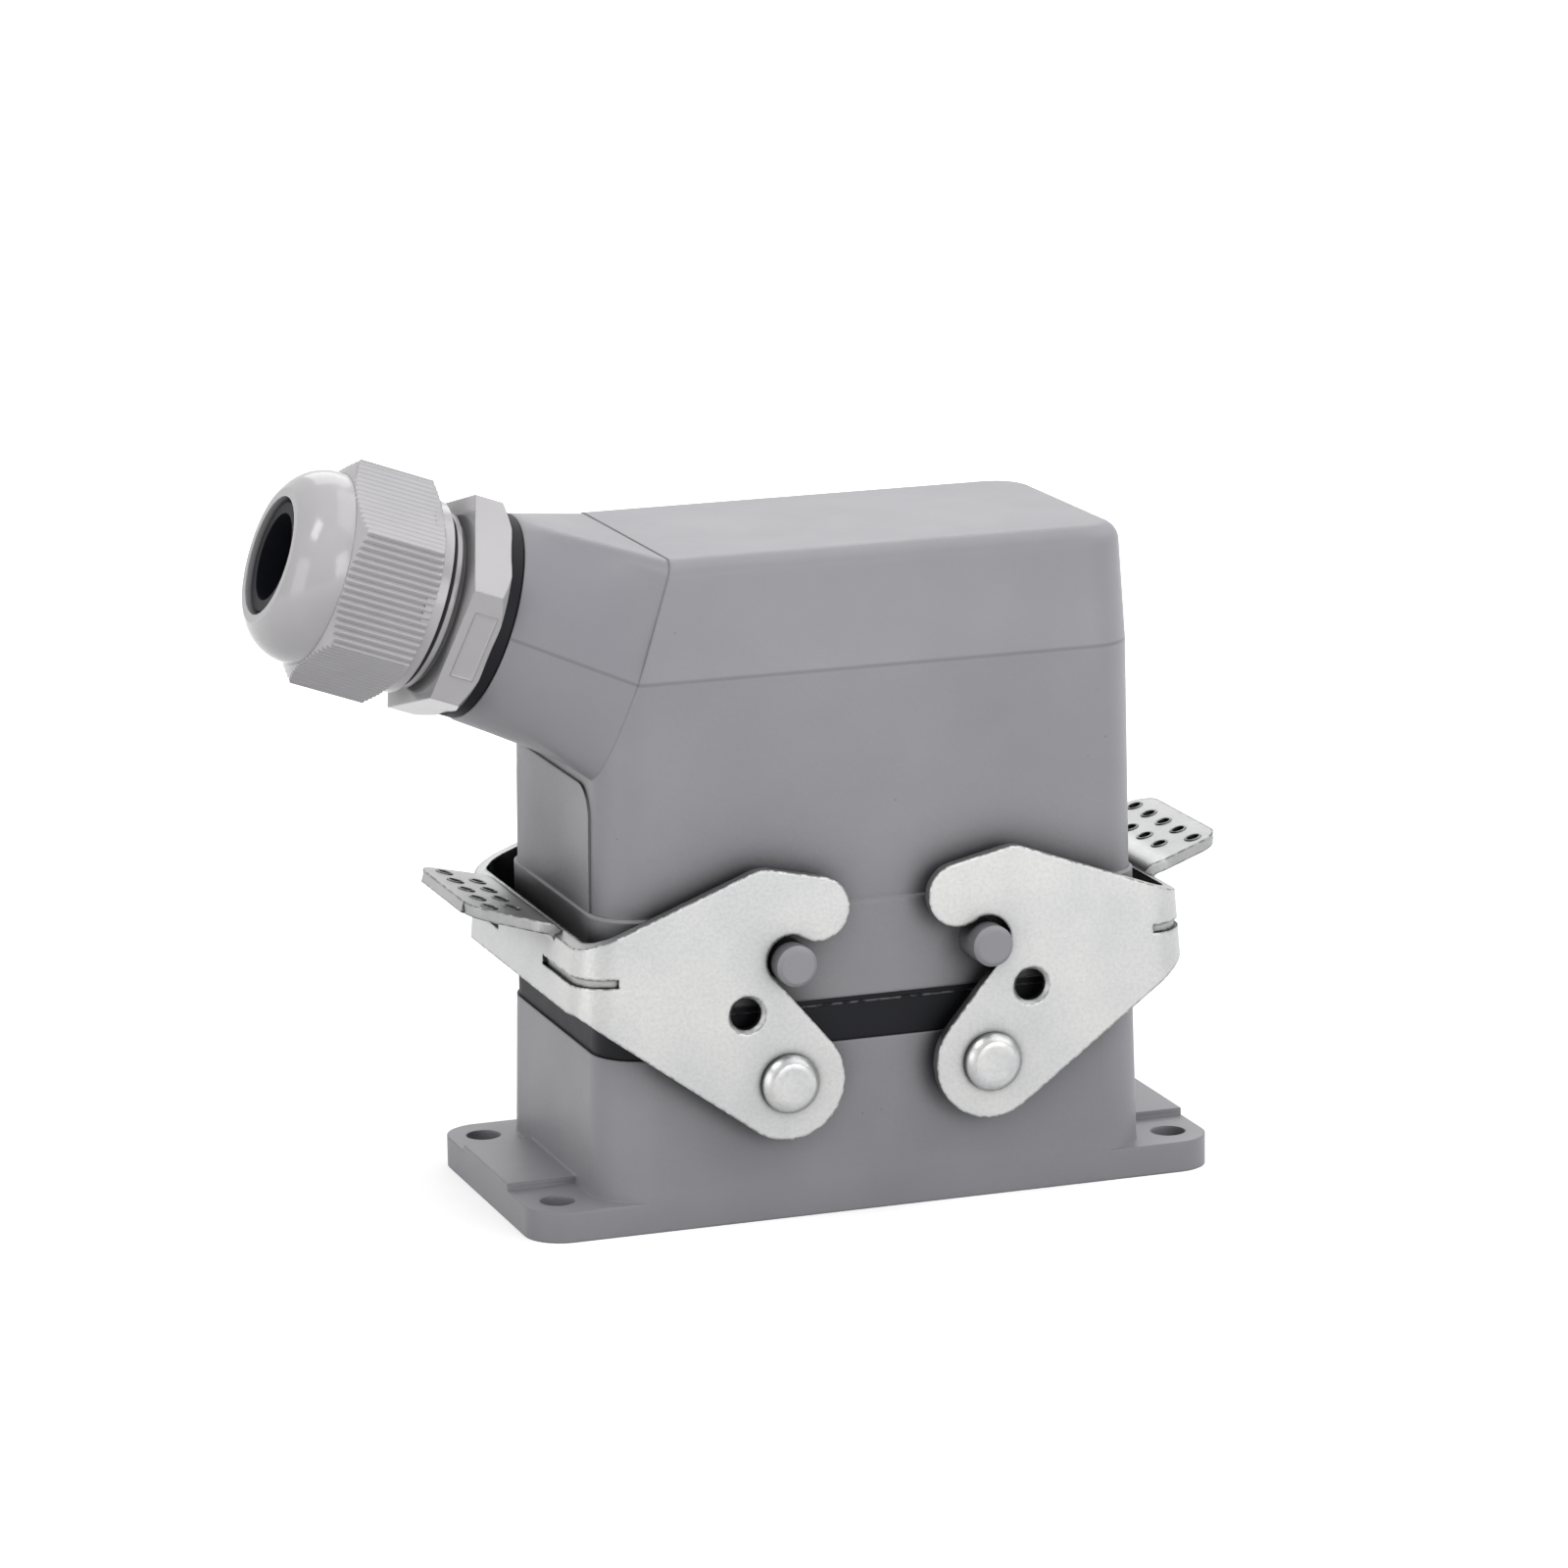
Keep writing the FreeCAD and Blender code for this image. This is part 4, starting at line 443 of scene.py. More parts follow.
@dataclass(frozen=True)
class PlatedMetal(Finish):
    """Plated sheet or turned metal: bright, with a cloudy bloom, speckled sheared edges that are partly torn
    steel and partly painted dark reflection, and painted shade on the outer ends.

    Attributes:
        metallic: How much of the surface is bare metal.
        bloom_share: How strongly the fine bloom shows.
        bloom_ends: The noise's values where the bloom begins and is full.
        torn: Dark colour of a sheared edge's torn half and of its painted dark reflection, which the bloom
            and the painted shade on the outer ends mix in too.
        torn_share: How strongly the torn edge and its painted dark reflection show.
        torn_turn: Cosines of the turn at an edge where the torn band is full and where it ends.
        fleck_mm: Size of the flecks on it.
        fleck_ends: The noise's values where a fleck begins and is full.
        tab_shade_share: How much painted shade darkens the outer ends, where the grip tabs are, from 0 to 1.
        tab_shade_mm: Distances from the middle where that painted shade begins and is full.
    """

    metallic: float = 1.0
    bloom_share: float = 0.09
    bloom_ends: tuple[float, float] = (0.42, 0.62)
    torn: str = "#343436"
    torn_share: float = 0.8
    torn_turn: tuple[float, float] = (0.90, 0.995)
    fleck_mm: float = 0.9
    fleck_ends: tuple[float, float] = (0.42, 0.56)
    tab_shade_share: float = 0.0
    tab_shade_mm: tuple[float, float] = (42.0, 43.5)

    def paint(self, tree: Tree, place: Socket) -> Socket:
        """Adds a fine bloom to the plating, dark flecks along its sheared edges, partly torn steel and
        partly painted dark reflection, and painted shade on the outer ends.

        Args:
            tree: The material's node tree.
            place: The Object coordinates.

        Returns:
            The colour's socket.
        """
        base = super().paint(tree, place)
        bloom = add_node(
            tree,
            "ShaderNodeTexNoise",
            {"Scale": per_metre(self.grain_mm), "Detail": 3.0, "Roughness": 0.7},
            {"Vector": place},
        )
        start, end = self.bloom_ends
        frost = add_node(
            tree,
            "ShaderNodeMapRange",
            {"From Min": start, "From Max": end, "To Min": 0.0, "To Max": self.bloom_share},
            {"Value": bloom.outputs["Fac"]},
        )
        clouded = add_node(
            tree,
            "ShaderNodeMix",
            {MIX_SECOND: linear(self.torn)},
            {MIX_SHARE: frost.outputs[0], MIX_FIRST: base},
            data_type="RGBA",
        )
        edge = self.torn_edge_and_painted_reflection(tree, place)
        mix = add_node(
            tree,
            "ShaderNodeMix",
            {MIX_SECOND: linear(self.torn)},
            {MIX_SHARE: edge, MIX_FIRST: clouded.outputs[MIX_RESULT]},
            data_type="RGBA",
        )
        return self.paint_tab_shade(tree, place, mix.outputs[MIX_RESULT])

    def torn_edge_and_painted_reflection(self, tree: Tree, place: Socket) -> Socket:
        """Finds the edges, where the softened normal turns away from the face's own, and flecks them dark:
        partly torn steel, partly painted dark reflection.

        Args:
            tree: The material's node tree.
            place: The Object coordinates.

        Returns:
            The socket of how much of the torn colour shows.
        """
        rounded = add_node(tree, "ShaderNodeBevel", {"Radius": self.edge_mm * MM}, samples=BEVEL_SAMPLES)
        flat = add_node(tree, "ShaderNodeNewGeometry")
        turn = add_node(
            tree,
            "ShaderNodeVectorMath",
            links={0: rounded.outputs[0], 1: flat.outputs["Normal"]},
            operation="DOT_PRODUCT",
        )
        sharp, gentle = self.torn_turn
        rim = add_node(
            tree,
            "ShaderNodeMapRange",
            {"From Min": sharp, "From Max": gentle, "To Min": self.torn_share, "To Max": 0.0},
            {"Value": turn.outputs["Value"]},
        )
        flecks = add_node(
            tree, "ShaderNodeTexNoise", {"Scale": per_metre(self.fleck_mm), "Detail": 2.0}, {"Vector": place}
        )
        start, end = self.fleck_ends
        torn = add_node(
            tree,
            "ShaderNodeMapRange",
            {"From Min": start, "From Max": end},
            {"Value": flecks.outputs["Fac"]},
        )
        share = add_node(
            tree, "ShaderNodeMath", links={0: rim.outputs[0], 1: torn.outputs[0]}, operation="MULTIPLY"
        )
        return share.outputs[0]

    def paint_tab_shade(self, tree: Tree, place: Socket, base: Socket) -> Socket:
        """Paints shade over the outer ends, so that the grip tabs look darker.

        Args:
            tree: The material's node tree.
            place: The Object coordinates.
            base: The plating's colour.

        Returns:
            The colour's socket.
        """
        axes = add_node(tree, "ShaderNodeSeparateXYZ", links={0: place})
        out = add_node(tree, "ShaderNodeMath", links={0: axes.outputs["X"]}, operation="ABSOLUTE")
        start, end = self.tab_shade_mm
        share = add_node(
            tree,
            "ShaderNodeMapRange",
            {"From Min": start * MM, "From Max": end * MM, "To Max": self.tab_shade_share},
            {"Value": out.outputs[0]},
        )
        mix = add_node(
            tree,
            "ShaderNodeMix",
            {MIX_SECOND: linear(self.torn)},
            {MIX_SHARE: share.outputs[0], MIX_FIRST: base},
            data_type="RGBA",
        )
        return mix.outputs[MIX_RESULT]

    def set_shader(self, shader: bpy.types.Node) -> None:
        """Sets the metal."""
        shader.inputs["Metallic"].default_value = self.metallic


@dataclass(frozen=True)
class Moulded(Finish):
    """Moulded plastic or rubber.

    Attributes:
        ior: Index of refraction.
        depth: Weight of the light that enters the surface.
        specular: Strength of the surface's own reflection, half being a clean one.
        depth_mm: How far that light travels inside.
    """

    ior: float = 1.53
    depth: float = 0.0
    specular: float = 0.5
    depth_mm: float = 0.6

    def set_shader(self, shader: bpy.types.Node) -> None:
        """Sets the plastic's index and how far light enters it.

        Args:
            shader: The material's shader.
        """
        shader.inputs["IOR"].default_value = self.ior
        shader.inputs["Specular IOR Level"].default_value = self.specular
        shader.inputs["Subsurface Weight"].default_value = self.depth
        shader.inputs["Subsurface Radius"].default_value = (1.0, 1.0, 1.0)
        shader.inputs["Subsurface Scale"].default_value = self.depth_mm * MM


@dataclass(frozen=True)
class Rubber(Moulded):
    """Moulded rubber with a paler broken line painted along the mating seal's lip near its upper edge, a
    painted highlight.

    Attributes:
        lip_highlight: Colour of the painted highlight along the lip.
        lip_highlight_level: Its height in millimetres.
        lip_highlight_mm: Half widths of its pale core and of its soft edge.
        lip_highlight_share: How strongly it shows.
        break_mm: Size of its breaks.
        break_ends: The noise's values where a break ends and the line is whole.
    """

    lip_highlight: str = "#6A6B70"
    lip_highlight_level: float = 27.25
    lip_highlight_mm: tuple[float, float] = (0.1, 0.2)
    lip_highlight_share: float = 0.75
    break_mm: float = 1.2
    break_ends: tuple[float, float] = (0.4, 0.55)

    def paint(self, tree: Tree, place: Socket) -> Socket:
        """Paints the broken pale line, a painted highlight along the seal's lip.

        Args:
            tree: The material's node tree.
            place: The Object coordinates.

        Returns:
            The colour's socket.
        """
        base = super().paint(tree, place)
        axes = add_node(tree, "ShaderNodeSeparateXYZ", links={0: place})
        rise = add_node(
            tree, "ShaderNodeMath", {1: self.lip_highlight_level * MM}, {0: axes.outputs["Z"]}, operation="SUBTRACT"
        )
        off = add_node(tree, "ShaderNodeMath", links={0: rise.outputs[0]}, operation="ABSOLUTE")
        core, edge = self.lip_highlight_mm
        line = add_node(
            tree,
            "ShaderNodeMapRange",
            {"From Min": core * MM, "From Max": edge * MM, "To Min": self.lip_highlight_share, "To Max": 0.0},
            {"Value": off.outputs[0]},
        )
        breaks = add_node(
            tree, "ShaderNodeTexNoise", {"Scale": per_metre(self.break_mm), "Detail": 1.0}, {"Vector": place}
        )
        start, end = self.break_ends
        dashes = add_node(
            tree,
            "ShaderNodeMapRange",
            {"From Min": start, "From Max": end},
            {"Value": breaks.outputs["Fac"]},
        )
        share = add_node(
            tree, "ShaderNodeMath", links={0: line.outputs[0], 1: dashes.outputs[0]}, operation="MULTIPLY"
        )
        mix = add_node(
            tree,
            "ShaderNodeMix",
            {MIX_SECOND: linear(self.lip_highlight)},
            {MIX_SHARE: share.outputs[0], MIX_FIRST: base},
            data_type="RGBA",
        )
        return mix.outputs[MIX_RESULT]


class Slot(Enum):
    """The record's material slots, each with its finish."""

    # A fine powder coat hides the casting's grain, so the walls look matt and even.
    housing_coating = PowderCoat(
        name="powder coated die-cast aluminium",
        colour="#9D9CA1", shade="#95949A", roughness=0.46,
        drift_mm=26.0, grain_mm=0.8, grain_depth_mm=0.03, edge_mm=0.5,
        gap_mm=17.0, gap_shade=0.92, gap_open=0.95,
    )
    # Nitrile rubber scatters little light, so the seals look nearly black with a blue cast.
    seal_rubber = Rubber(
        name="moulded nitrile rubber",
        colour="#0D0E17", shade="#0B0C13", roughness=0.55,
        drift_mm=9.0, grain_mm=0.4, grain_depth_mm=0.01, edge_mm=0.2,
        gap_mm=5.0, gap_shade=0.7, gap_open=0.9,
        ior=1.52, specular=0.2,
    )
    # Bright zinc over cold-rolled sheet: it mirrors softly and shows a fine frosted bloom.
    lever_steel = PlatedMetal(
        name="zinc plated sheet steel",
        colour="#BABAB9", shade="#B1B2B2", roughness=0.38,
        drift_mm=12.0, grain_mm=0.5, grain_depth_mm=0.018, edge_mm=0.5,
        gap_mm=7.0, gap_shade=0.95, gap_open=0.95,
        # The outer ends, where the grip tabs are, get painted shade.
        tab_shade_share=0.32,
    )
    # The same zinc over turned pins gives rounder and brighter glints.
    pin_steel = PlatedMetal(
        name="zinc plated turned steel",
        colour="#BCBCBB", shade="#B0B1B2", roughness=0.34,
        drift_mm=5.0, grain_mm=0.6, grain_depth_mm=0.016, edge_mm=0.3,
        gap_mm=4.0, gap_shade=0.9, gap_open=0.9,
        torn_share=0.5,
    )
    # Glass-filled polycarbonate keeps a dull, even skin.
    insert_plastic = Moulded(
        name="glass filled polycarbonate",
        colour="#B9B8AE", shade="#B1B0A6", roughness=0.5,
        drift_mm=14.0, grain_mm=0.35, grain_depth_mm=0.008, edge_mm=0.2,
        gap_mm=5.0, gap_shade=0.6, gap_open=0.9,
        ior=1.58,
    )
    # Silver over copper alloy looks warm and bright, with smooth edges.
    contact_metal = PlatedMetal(
        name="silver plated copper alloy",
        colour="#DCD8CE", shade="#C8C2B2", roughness=0.24,
        drift_mm=3.0, grain_mm=0.8, grain_depth_mm=0.004, edge_mm=0.12,
        gap_mm=3.0, gap_shade=0.7, gap_open=0.9,
        torn_share=0.0,
    )
    # Zinc on small screws and plates gives fine, crisp glints.
    screw_steel = PlatedMetal(
        name="zinc plated screw steel",
        colour="#CBCCCC", shade="#B4B6B8", roughness=0.32,
        drift_mm=2.5, grain_mm=0.6, grain_depth_mm=0.006, edge_mm=0.12,
        gap_mm=4.0, gap_shade=0.8, gap_open=0.9,
        torn_share=0.2,
    )
    # Moulded polyamide has a fairly glossy skin and lets a little light in at its edges.
    gland_plastic = Moulded(
        name="moulded polyamide",
        colour="#C1BFC1", shade="#B9B7BA", roughness=0.15,
        drift_mm=16.0, grain_mm=0.6, grain_depth_mm=0.006, edge_mm=0.25,
        gap_mm=8.0, gap_shade=0.6, gap_open=0.6,
        ior=1.53, depth=0.03,
    )


@dataclass
class Wardrobe:
    """Keeps one material for each slot, made when it is first asked for."""

    made: dict[Slot, bpy.types.Material] = field(default_factory=dict)

    def material(self, slot: Slot) -> bpy.types.Material:
        """Gives a slot's material.

        Args:
            slot: The slot.

        Returns:
            Its material, the same one each time.
        """
        if slot not in self.made:
            self.made[slot] = slot.value.build()
        return self.made[slot]

    def dress(self, piece: bpy.types.Object, slot: Slot) -> None:
        """Puts a slot's material on a piece in place of what it had."""
        piece.data.materials.clear()
        piece.data.materials.append(self.material(slot))


# Mesh helpers


def finished(name: str, shape: bmesh.types.BMesh, smooth: bool = True) -> bpy.types.Object:
    """Turns a bmesh into a piece whose object sits at the origin.

    Args:
        name: The piece's name.
        shape: The mesh, in metres and in place; it is freed.
        smooth: Whether its faces shade smoothly.

    Returns:
        The new object.
    """
    bmesh.ops.remove_doubles(shape, verts=shape.verts, dist=WELD_DISTANCE)
    bmesh.ops.recalc_face_normals(shape, faces=shape.faces)
    for face in shape.faces:
        face.smooth = smooth
    mesh = bpy.data.meshes.new(name)
    shape.to_mesh(mesh)
    shape.free()
    piece = bpy.data.objects.new(name, mesh)
    bpy.context.scene.collection.objects.link(piece)
    return piece


def spin_into_place(
    shape: bmesh.types.BMesh,
    place: Matrix,
    outline: Iterable[bmesh.types.BMVert | bmesh.types.BMEdge],
    steps: int,
) -> None:
    """Spins a new outline once about the Z axis and moves what it made into place.

    Args:
        shape: The bmesh that holds the outline; what was moved before is tagged.
        place: Where the spun shape goes.
        outline: The outline's points and edges.
        steps: How many sides the spun shape has.
    """
    bmesh.ops.spin(
        shape,
        geom=list(outline),
        cent=(0, 0, 0),
        axis=(0, 0, 1),
        angle=2 * math.pi,
        steps=steps,
        use_merge=True,
    )
    loose = [vert for vert in shape.verts if not vert.tag]
    bmesh.ops.transform(shape, matrix=place, verts=loose)
    for vert in loose:
        vert.tag = True


def ring_at(
    shape: bmesh.types.BMesh, place: Matrix, radius: float, bead: float, sides: int = 8, steps: int = 28
) -> None:
    """Spins a small round bead into a ring.

    Args:
        shape: The bmesh that gets the ring.
        place: Where its centre is, with its axis along local Z.
        radius: The ring's radius.
        bead: The bead's radius.
        sides: How many sides the bead has.
        steps: How many sides the ring has.
    """
    upright = Matrix.Translation((radius, 0, 0)) @ Matrix.Rotation(math.pi / 2, 4, "X")
    bead_verts = bmesh.ops.create_circle(shape, segments=sides, radius=bead, matrix=upright)["verts"]
    bead_edges = {edge for vert in bead_verts for edge in vert.link_edges}
    spin_into_place(shape, place, [*bead_verts, *bead_edges], steps)


def spun_at(
    shape: bmesh.types.BMesh, place: Matrix, profile: Iterable[tuple[float, float]], steps: int = 64
) -> None:
    """Turns an open profile about its axis.

    Args:
        shape: The bmesh that gets the turned skin.
        place: Where its foot is, with its axis along local Z.
        profile: Radius and height of each point in millimetres, from the rim to the axis.
        steps: How many sides the turned skin has.
    """
    verts = [shape.verts.new(Vector((radius, 0, height)) * MM) for radius, height in profile]
    edges = [shape.edges.new(pair) for pair in zip(verts, verts[1:])]
    spin_into_place(shape, place, [*verts, *edges], steps)


# Sub-assemblies


@dataclass
class SubAssembly:
    """A group of CAD nodes with their finishes.

    Attributes:
        nodes: The part's nodes by name.
        wardrobe: Where the materials come from.
        dressed: Which slot each of this group's nodes takes.
    """

    nodes: dict[str, bpy.types.Object]
    wardrobe: Wardrobe
    dressed: dict[str, Slot] = field(default_factory=dict)

    def build(self) -> None:
        """Dresses the CAD nodes and adds the group's own pieces."""
        for name, slot in self.dressed.items():
            self.wardrobe.dress(self.nodes[name], slot)
            LOG.info("%s: %s", name, slot.value.name)
        self.add_trim()

    def add_trim(self) -> None:
        """Adds pieces that only the scene has. A plain group has none."""

    def attach(self, piece: bpy.types.Object, body: str, slot: Slot) -> None:
        """Dresses a new piece and lets it move with a body.

        Args:
            piece: The new piece.
            body: The body that carries it.
            slot: The slot that it takes its finish from.
        """
        self.wardrobe.dress(piece, slot)
        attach(piece, body)
        LOG.info("%s rides on %s: %d faces", piece.name, body, len(piece.data.polygons))


@dataclass
class Housing(SubAssembly):
    """The cast base and hood."""

    dressed: dict[str, Slot] = field(
        default_factory=lambda: {"base_housing": Slot.housing_coating, "hood": Slot.housing_coating}
    )


@dataclass
class Seals(SubAssembly):
    """The rubber seals: between the housings, under the flange and behind the gland.

    Attributes:
        length: The mating seal's length in millimetres.
        width: Its width.
        corner: Its corner radius.
        lip_level: Height of its moulded lip's underside.
        lip_height: Height of the lip.
        lip_width: Width of the lip's flat.
        lip_proud: How far the lip stands out.
        corner_steps: How many sides a rounded corner has.
    """

    dressed: dict[str, Slot] = field(
        default_factory=lambda: {
            "mating_seal": Slot.seal_rubber,
            "flange_gasket": Slot.seal_rubber,
            "gland_washer": Slot.seal_rubber,
        }
    )
    length: float = 72.4
    width: float = 42.4
    corner: float = 6.2
    lip_level: float = 27.1
    lip_height: float = 0.3
    lip_width: float = 1.2
    lip_proud: float = 0.12
    corner_steps: int = 10

    def add_trim(self) -> None:
        """Adds the thin lip that runs round the mating seal near its top."""
        shape = bmesh.new()
        bmesh.ops.create_grid(shape, x_segments=1, y_segments=1, size=0.5)
        reach = 2 * self.lip_proud
        scale = Vector((self.length + reach, self.width + reach, 1.0)) * MM
        bmesh.ops.scale(shape, vec=scale, verts=shape.verts)
        bmesh.ops.bevel(
            shape,
            geom=list(shape.verts),
            offset=(self.corner + self.lip_proud) * MM,
            offset_type="OFFSET",
            affect="VERTICES",
            segments=self.corner_steps,
            profile=0.5,
            material=-1,
        )
        inner = bmesh.ops.inset_region(
            shape,
            faces=list(shape.faces),
            thickness=self.lip_width * MM,
            use_boundary=True,
            use_even_offset=True,
        )
        rim = set(inner["faces"])
        bmesh.ops.delete(shape, geom=[face for face in shape.faces if face not in rim], context="FACES")
        raised = bmesh.ops.extrude_face_region(shape, geom=list(shape.faces))
        tops = [item for item in raised["geom"] if isinstance(item, bmesh.types.BMVert)]
        bmesh.ops.translate(shape, vec=(0, 0, self.lip_height * MM), verts=tops)
        bmesh.ops.translate(shape, vec=(0, 0, self.lip_level * MM), verts=shape.verts)
        self.attach(finished("mating_seal_lip", shape, smooth=False), "root", Slot.seal_rubber)


@dataclass
class LockingLever(SubAssembly):
    """One folded locking lever with its embossed grip tab.

    Attributes:
        body: The CAD body and node of this lever.
        side: 1 for the right-hand lever, -1 for the left-hand one.
        tab_reach: The tab's tip from the middle of the housing.
        tab_height: The tip's height.
        tab_slope: The tab's slope in degrees.
        edge_gap: From the tip to the first row of pits.
        row_gap: Between the rows.
        pitch: Between the pits of a row.
        rows: How many pits each row has, from the tip inwards.
        rim_radius: Radius of the burr round each pit.
        rim_bead: Radius of the burr itself.
    """

    body: str = "lever_right"
    side: int = 1
    tab_reach: float = 50.65
    tab_height: float = 42.0
    tab_slope: float = 15.3
    edge_gap: float = 3.1
    row_gap: float = 3.8
    pitch: float = 4.9
    rows: tuple[int, int] = (5, 4)
    rim_radius: float = 0.98
    rim_bead: float = 0.17

    def __post_init__(self) -> None:
        """Names the lever's node."""
        self.dressed = {self.body: Slot.lever_steel}

    def add_trim(self) -> None:
        """Adds the raised burr that the punch left round every pit of the grip tab."""
        shape = bmesh.new()
        turn = Matrix.Rotation(0.0 if self.side > 0 else math.pi, 4, "Z")
        slope = Matrix.Rotation(-math.radians(self.tab_slope), 4, "Y")
        tip = Matrix.Translation(Vector((self.tab_reach, 0, self.tab_height)) * MM)
        for row, count in enumerate(self.rows):
            inward = self.edge_gap + row * self.row_gap
            for step in range(count):
                across = (step - (count - 1) / 2) * self.pitch
                pit = Matrix.Translation(Vector((-inward, across, 0)) * MM)
                ring_at(shape, turn @ tip @ slope @ pit, self.rim_radius * MM, self.rim_bead * MM)
        self.attach(finished(self.body + "_pit_rims", shape), self.body, Slot.lever_steel)


@dataclass
class PivotPins(SubAssembly):
    """The four turned pins that the levers swing on.

    Attributes:
        ends: The end and the long side where each pin is.
        seat: Distance of the heads' undersides from the middle plane.
        head_radius: Radius of a head.
        head_thick: Thickness of a head.
        bevel: Its bevel's height and width.
        skin: How far the smooth skin lies outside the faceted head.
        peen_radius: Radius of the shallow dip that the peening tool left.
        peen_depth: Depth of that dip.
    """

    ends: tuple[tuple[str, str], ...] = tuple(product(("left", "right"), ("front", "rear")))
    seat: float = 25.15
    head_radius: float = 3.75
    head_thick: float = 1.6
    bevel: float = 0.9
    skin: float = 0.02
    peen_radius: float = 1.9
    peen_depth: float = 0.05

    def __post_init__(self) -> None:
        """Names the four pins."""
        self.dressed = {f"pivot_pin_{end}_{face}": Slot.pin_steel for end, face in self.ends}

    def head_profile(self) -> list[tuple[float, float]]:
        """Works out a head's turned outline, its corners eased by a few hundredths of a millimetre.

        Returns:
            Radius and height of each point, from the rim to the axis.
        """
        rim = self.head_radius + self.skin
        top = self.head_thick + self.skin
        flat = rim - self.bevel
        return [
            (rim, self.skin),
            (rim, top - self.bevel - 0.08),
            (rim - 0.05, top - self.bevel + 0.06),
            (flat + 0.07, top - 0.07),
            (flat - 0.08, top),
            (self.peen_radius, top - 0.03),
            (0.0, top - self.peen_depth),
        ]

    def add_trim(self) -> None:
        """Adds the smoothly turned skin of the four heads, with the dip of the peening tool in each."""
        shape = bmesh.new()
        for end, face_name in self.ends:
            low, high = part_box(f"pivot_pin_{end}_{face_name}")
            side = -1 if face_name == "front" else 1
            middle = Vector(((low[0] + high[0]) / 2, side * self.seat * MM, (low[2] + high[2]) / 2))
            turn = Matrix.Rotation(-side * math.pi / 2, 4, "X")
            spun_at(shape, Matrix.Translation(middle) @ turn, self.head_profile())
        self.attach(finished("pivot_pin_heads", shape), "root", Slot.pin_steel)


@dataclass
class Inserts(SubAssembly):
    """The moulded contact inserts with their contacts, screws and earth plates."""

    dressed: dict[str, Slot] = field(
        default_factory=lambda: {
            "socket_insert": Slot.insert_plastic,
            "pin_insert": Slot.insert_plastic,
            "socket_contacts": Slot.contact_metal,
            "pin_contacts": Slot.contact_metal,
            "socket_terminal_screws": Slot.screw_steel,
            "pin_terminal_screws": Slot.screw_steel,
            "socket_insert_screws": Slot.screw_steel,
            "pin_insert_screws": Slot.screw_steel,
            "base_earth_plates": Slot.screw_steel,
            "base_earth_screws": Slot.screw_steel,
            "hood_earth_plates": Slot.screw_steel,
            "hood_earth_screws": Slot.screw_steel,
        }
    )


@dataclass
class Gland(SubAssembly):
    """The cable gland on the neck.

    Attributes:
        root: The neck axis's start in millimetres.
        tilt: The axis's rise in degrees.
        neck_length: The neck's length along it.
        face_turn: Direction of the flange's marked flat about the axis, in degrees from up.
        apothem: The hexagonal flange's half width across flats.
        mark_middle: The mark's middle beyond the neck's end.
        mark_along: The mark's middle along the flat.
        mark_size: The mark's size along the axis and along the flat.
        mark_line: Width of its raised border.
        mark_height: Height of the border.
        mark_root: How deep the field's block stands in the flange.
        mark_sink: How far the field lies below its border, as a share of the border's height.
    """

    dressed: dict[str, Slot] = field(
        default_factory=lambda: {
            "gland_body": Slot.gland_plastic,
            "gland_nut": Slot.gland_plastic,
            "gland_claw": Slot.gland_plastic,
            "gland_seal": Slot.seal_rubber,
        }
    )
    root: tuple[float, float, float] = (-30.8, 0.0, 71.1)
    tilt: float = 20.0
    neck_length: float = 15.3
    face_turn: float = -103.9
    apothem: float = 13.1
    mark_middle: float = 3.8
    mark_along: float = 0.4
    mark_size: tuple[float, float] = (3.0, 8.8)
    mark_line: float = 0.3
    mark_height: float = 0.14
    mark_root: float = 0.3
    mark_sink: float = 0.8

    def axis_place(self, distance: float) -> Matrix:
        """Gives a place on the gland's axis.

        Args:
            distance: Millimetres beyond the neck's end.

        Returns:
            A matrix with local Z outward and local X up.
        """
        tilt = math.radians(self.tilt)
        outward = Vector((-math.cos(tilt), 0, math.sin(tilt)))
        upward = Vector((math.sin(tilt), 0, math.cos(tilt)))
        turn = Matrix((upward, Vector((0, 1, 0)), outward)).transposed().to_4x4()
        spot = (Vector(self.root) + outward * (self.neck_length + distance)) * MM
        return Matrix.Translation(spot) @ turn

    def add_trim(self) -> None:
        """Adds the plain raised border of the flange's moulded field, left without any mark."""
        shape = bmesh.new()
        bmesh.ops.create_cube(shape, size=1.0)
        scale = Vector((self.mark_root + self.mark_height, self.mark_size[1], self.mark_size[0])) * MM
        bmesh.ops.scale(shape, vec=scale, verts=shape.verts)
        front = [face for face in shape.faces if face.normal.x > 0.9]
        bmesh.ops.inset_region(shape, faces=front, thickness=self.mark_line * MM, use_even_offset=True)
        sunk = {vert for face in front for vert in face.verts}
        bmesh.ops.translate(shape, vec=(-self.mark_sink * self.mark_height * MM, 0, 0), verts=list(sunk))
        middle = self.apothem + (self.mark_height - self.mark_root) / 2
        place = (
            self.axis_place(self.mark_middle)
            @ Matrix.Rotation(math.radians(self.face_turn), 4, "Z")
            @ Matrix.Translation(Vector((middle, self.mark_along, 0)) * MM)
        )
        bmesh.ops.transform(shape, matrix=place, verts=shape.verts)
        self.attach(finished("gland_flange_field", shape, smooth=False), "root", Slot.gland_plastic)


# Studio


class Lamp(Enum):
    """The studio's soft boxes: place in metres, width and height in metres, and power in watts."""

    key = ((0.75, -0.1, 0.95), (1.3, 1.3), 7.0)
    left_box = ((-0.62, -0.24, 0.98), (0.3, 0.4), 2.4)
    left_fill = ((-1.1, -0.35, 0.3), (0.6, 0.6), 2.2)
    front = ((0.35, -1.2, 0.35), (0.6, 0.6), 3.9)
    rear = ((0.3, 1.0, 0.8), (0.8, 0.8), 3.0)


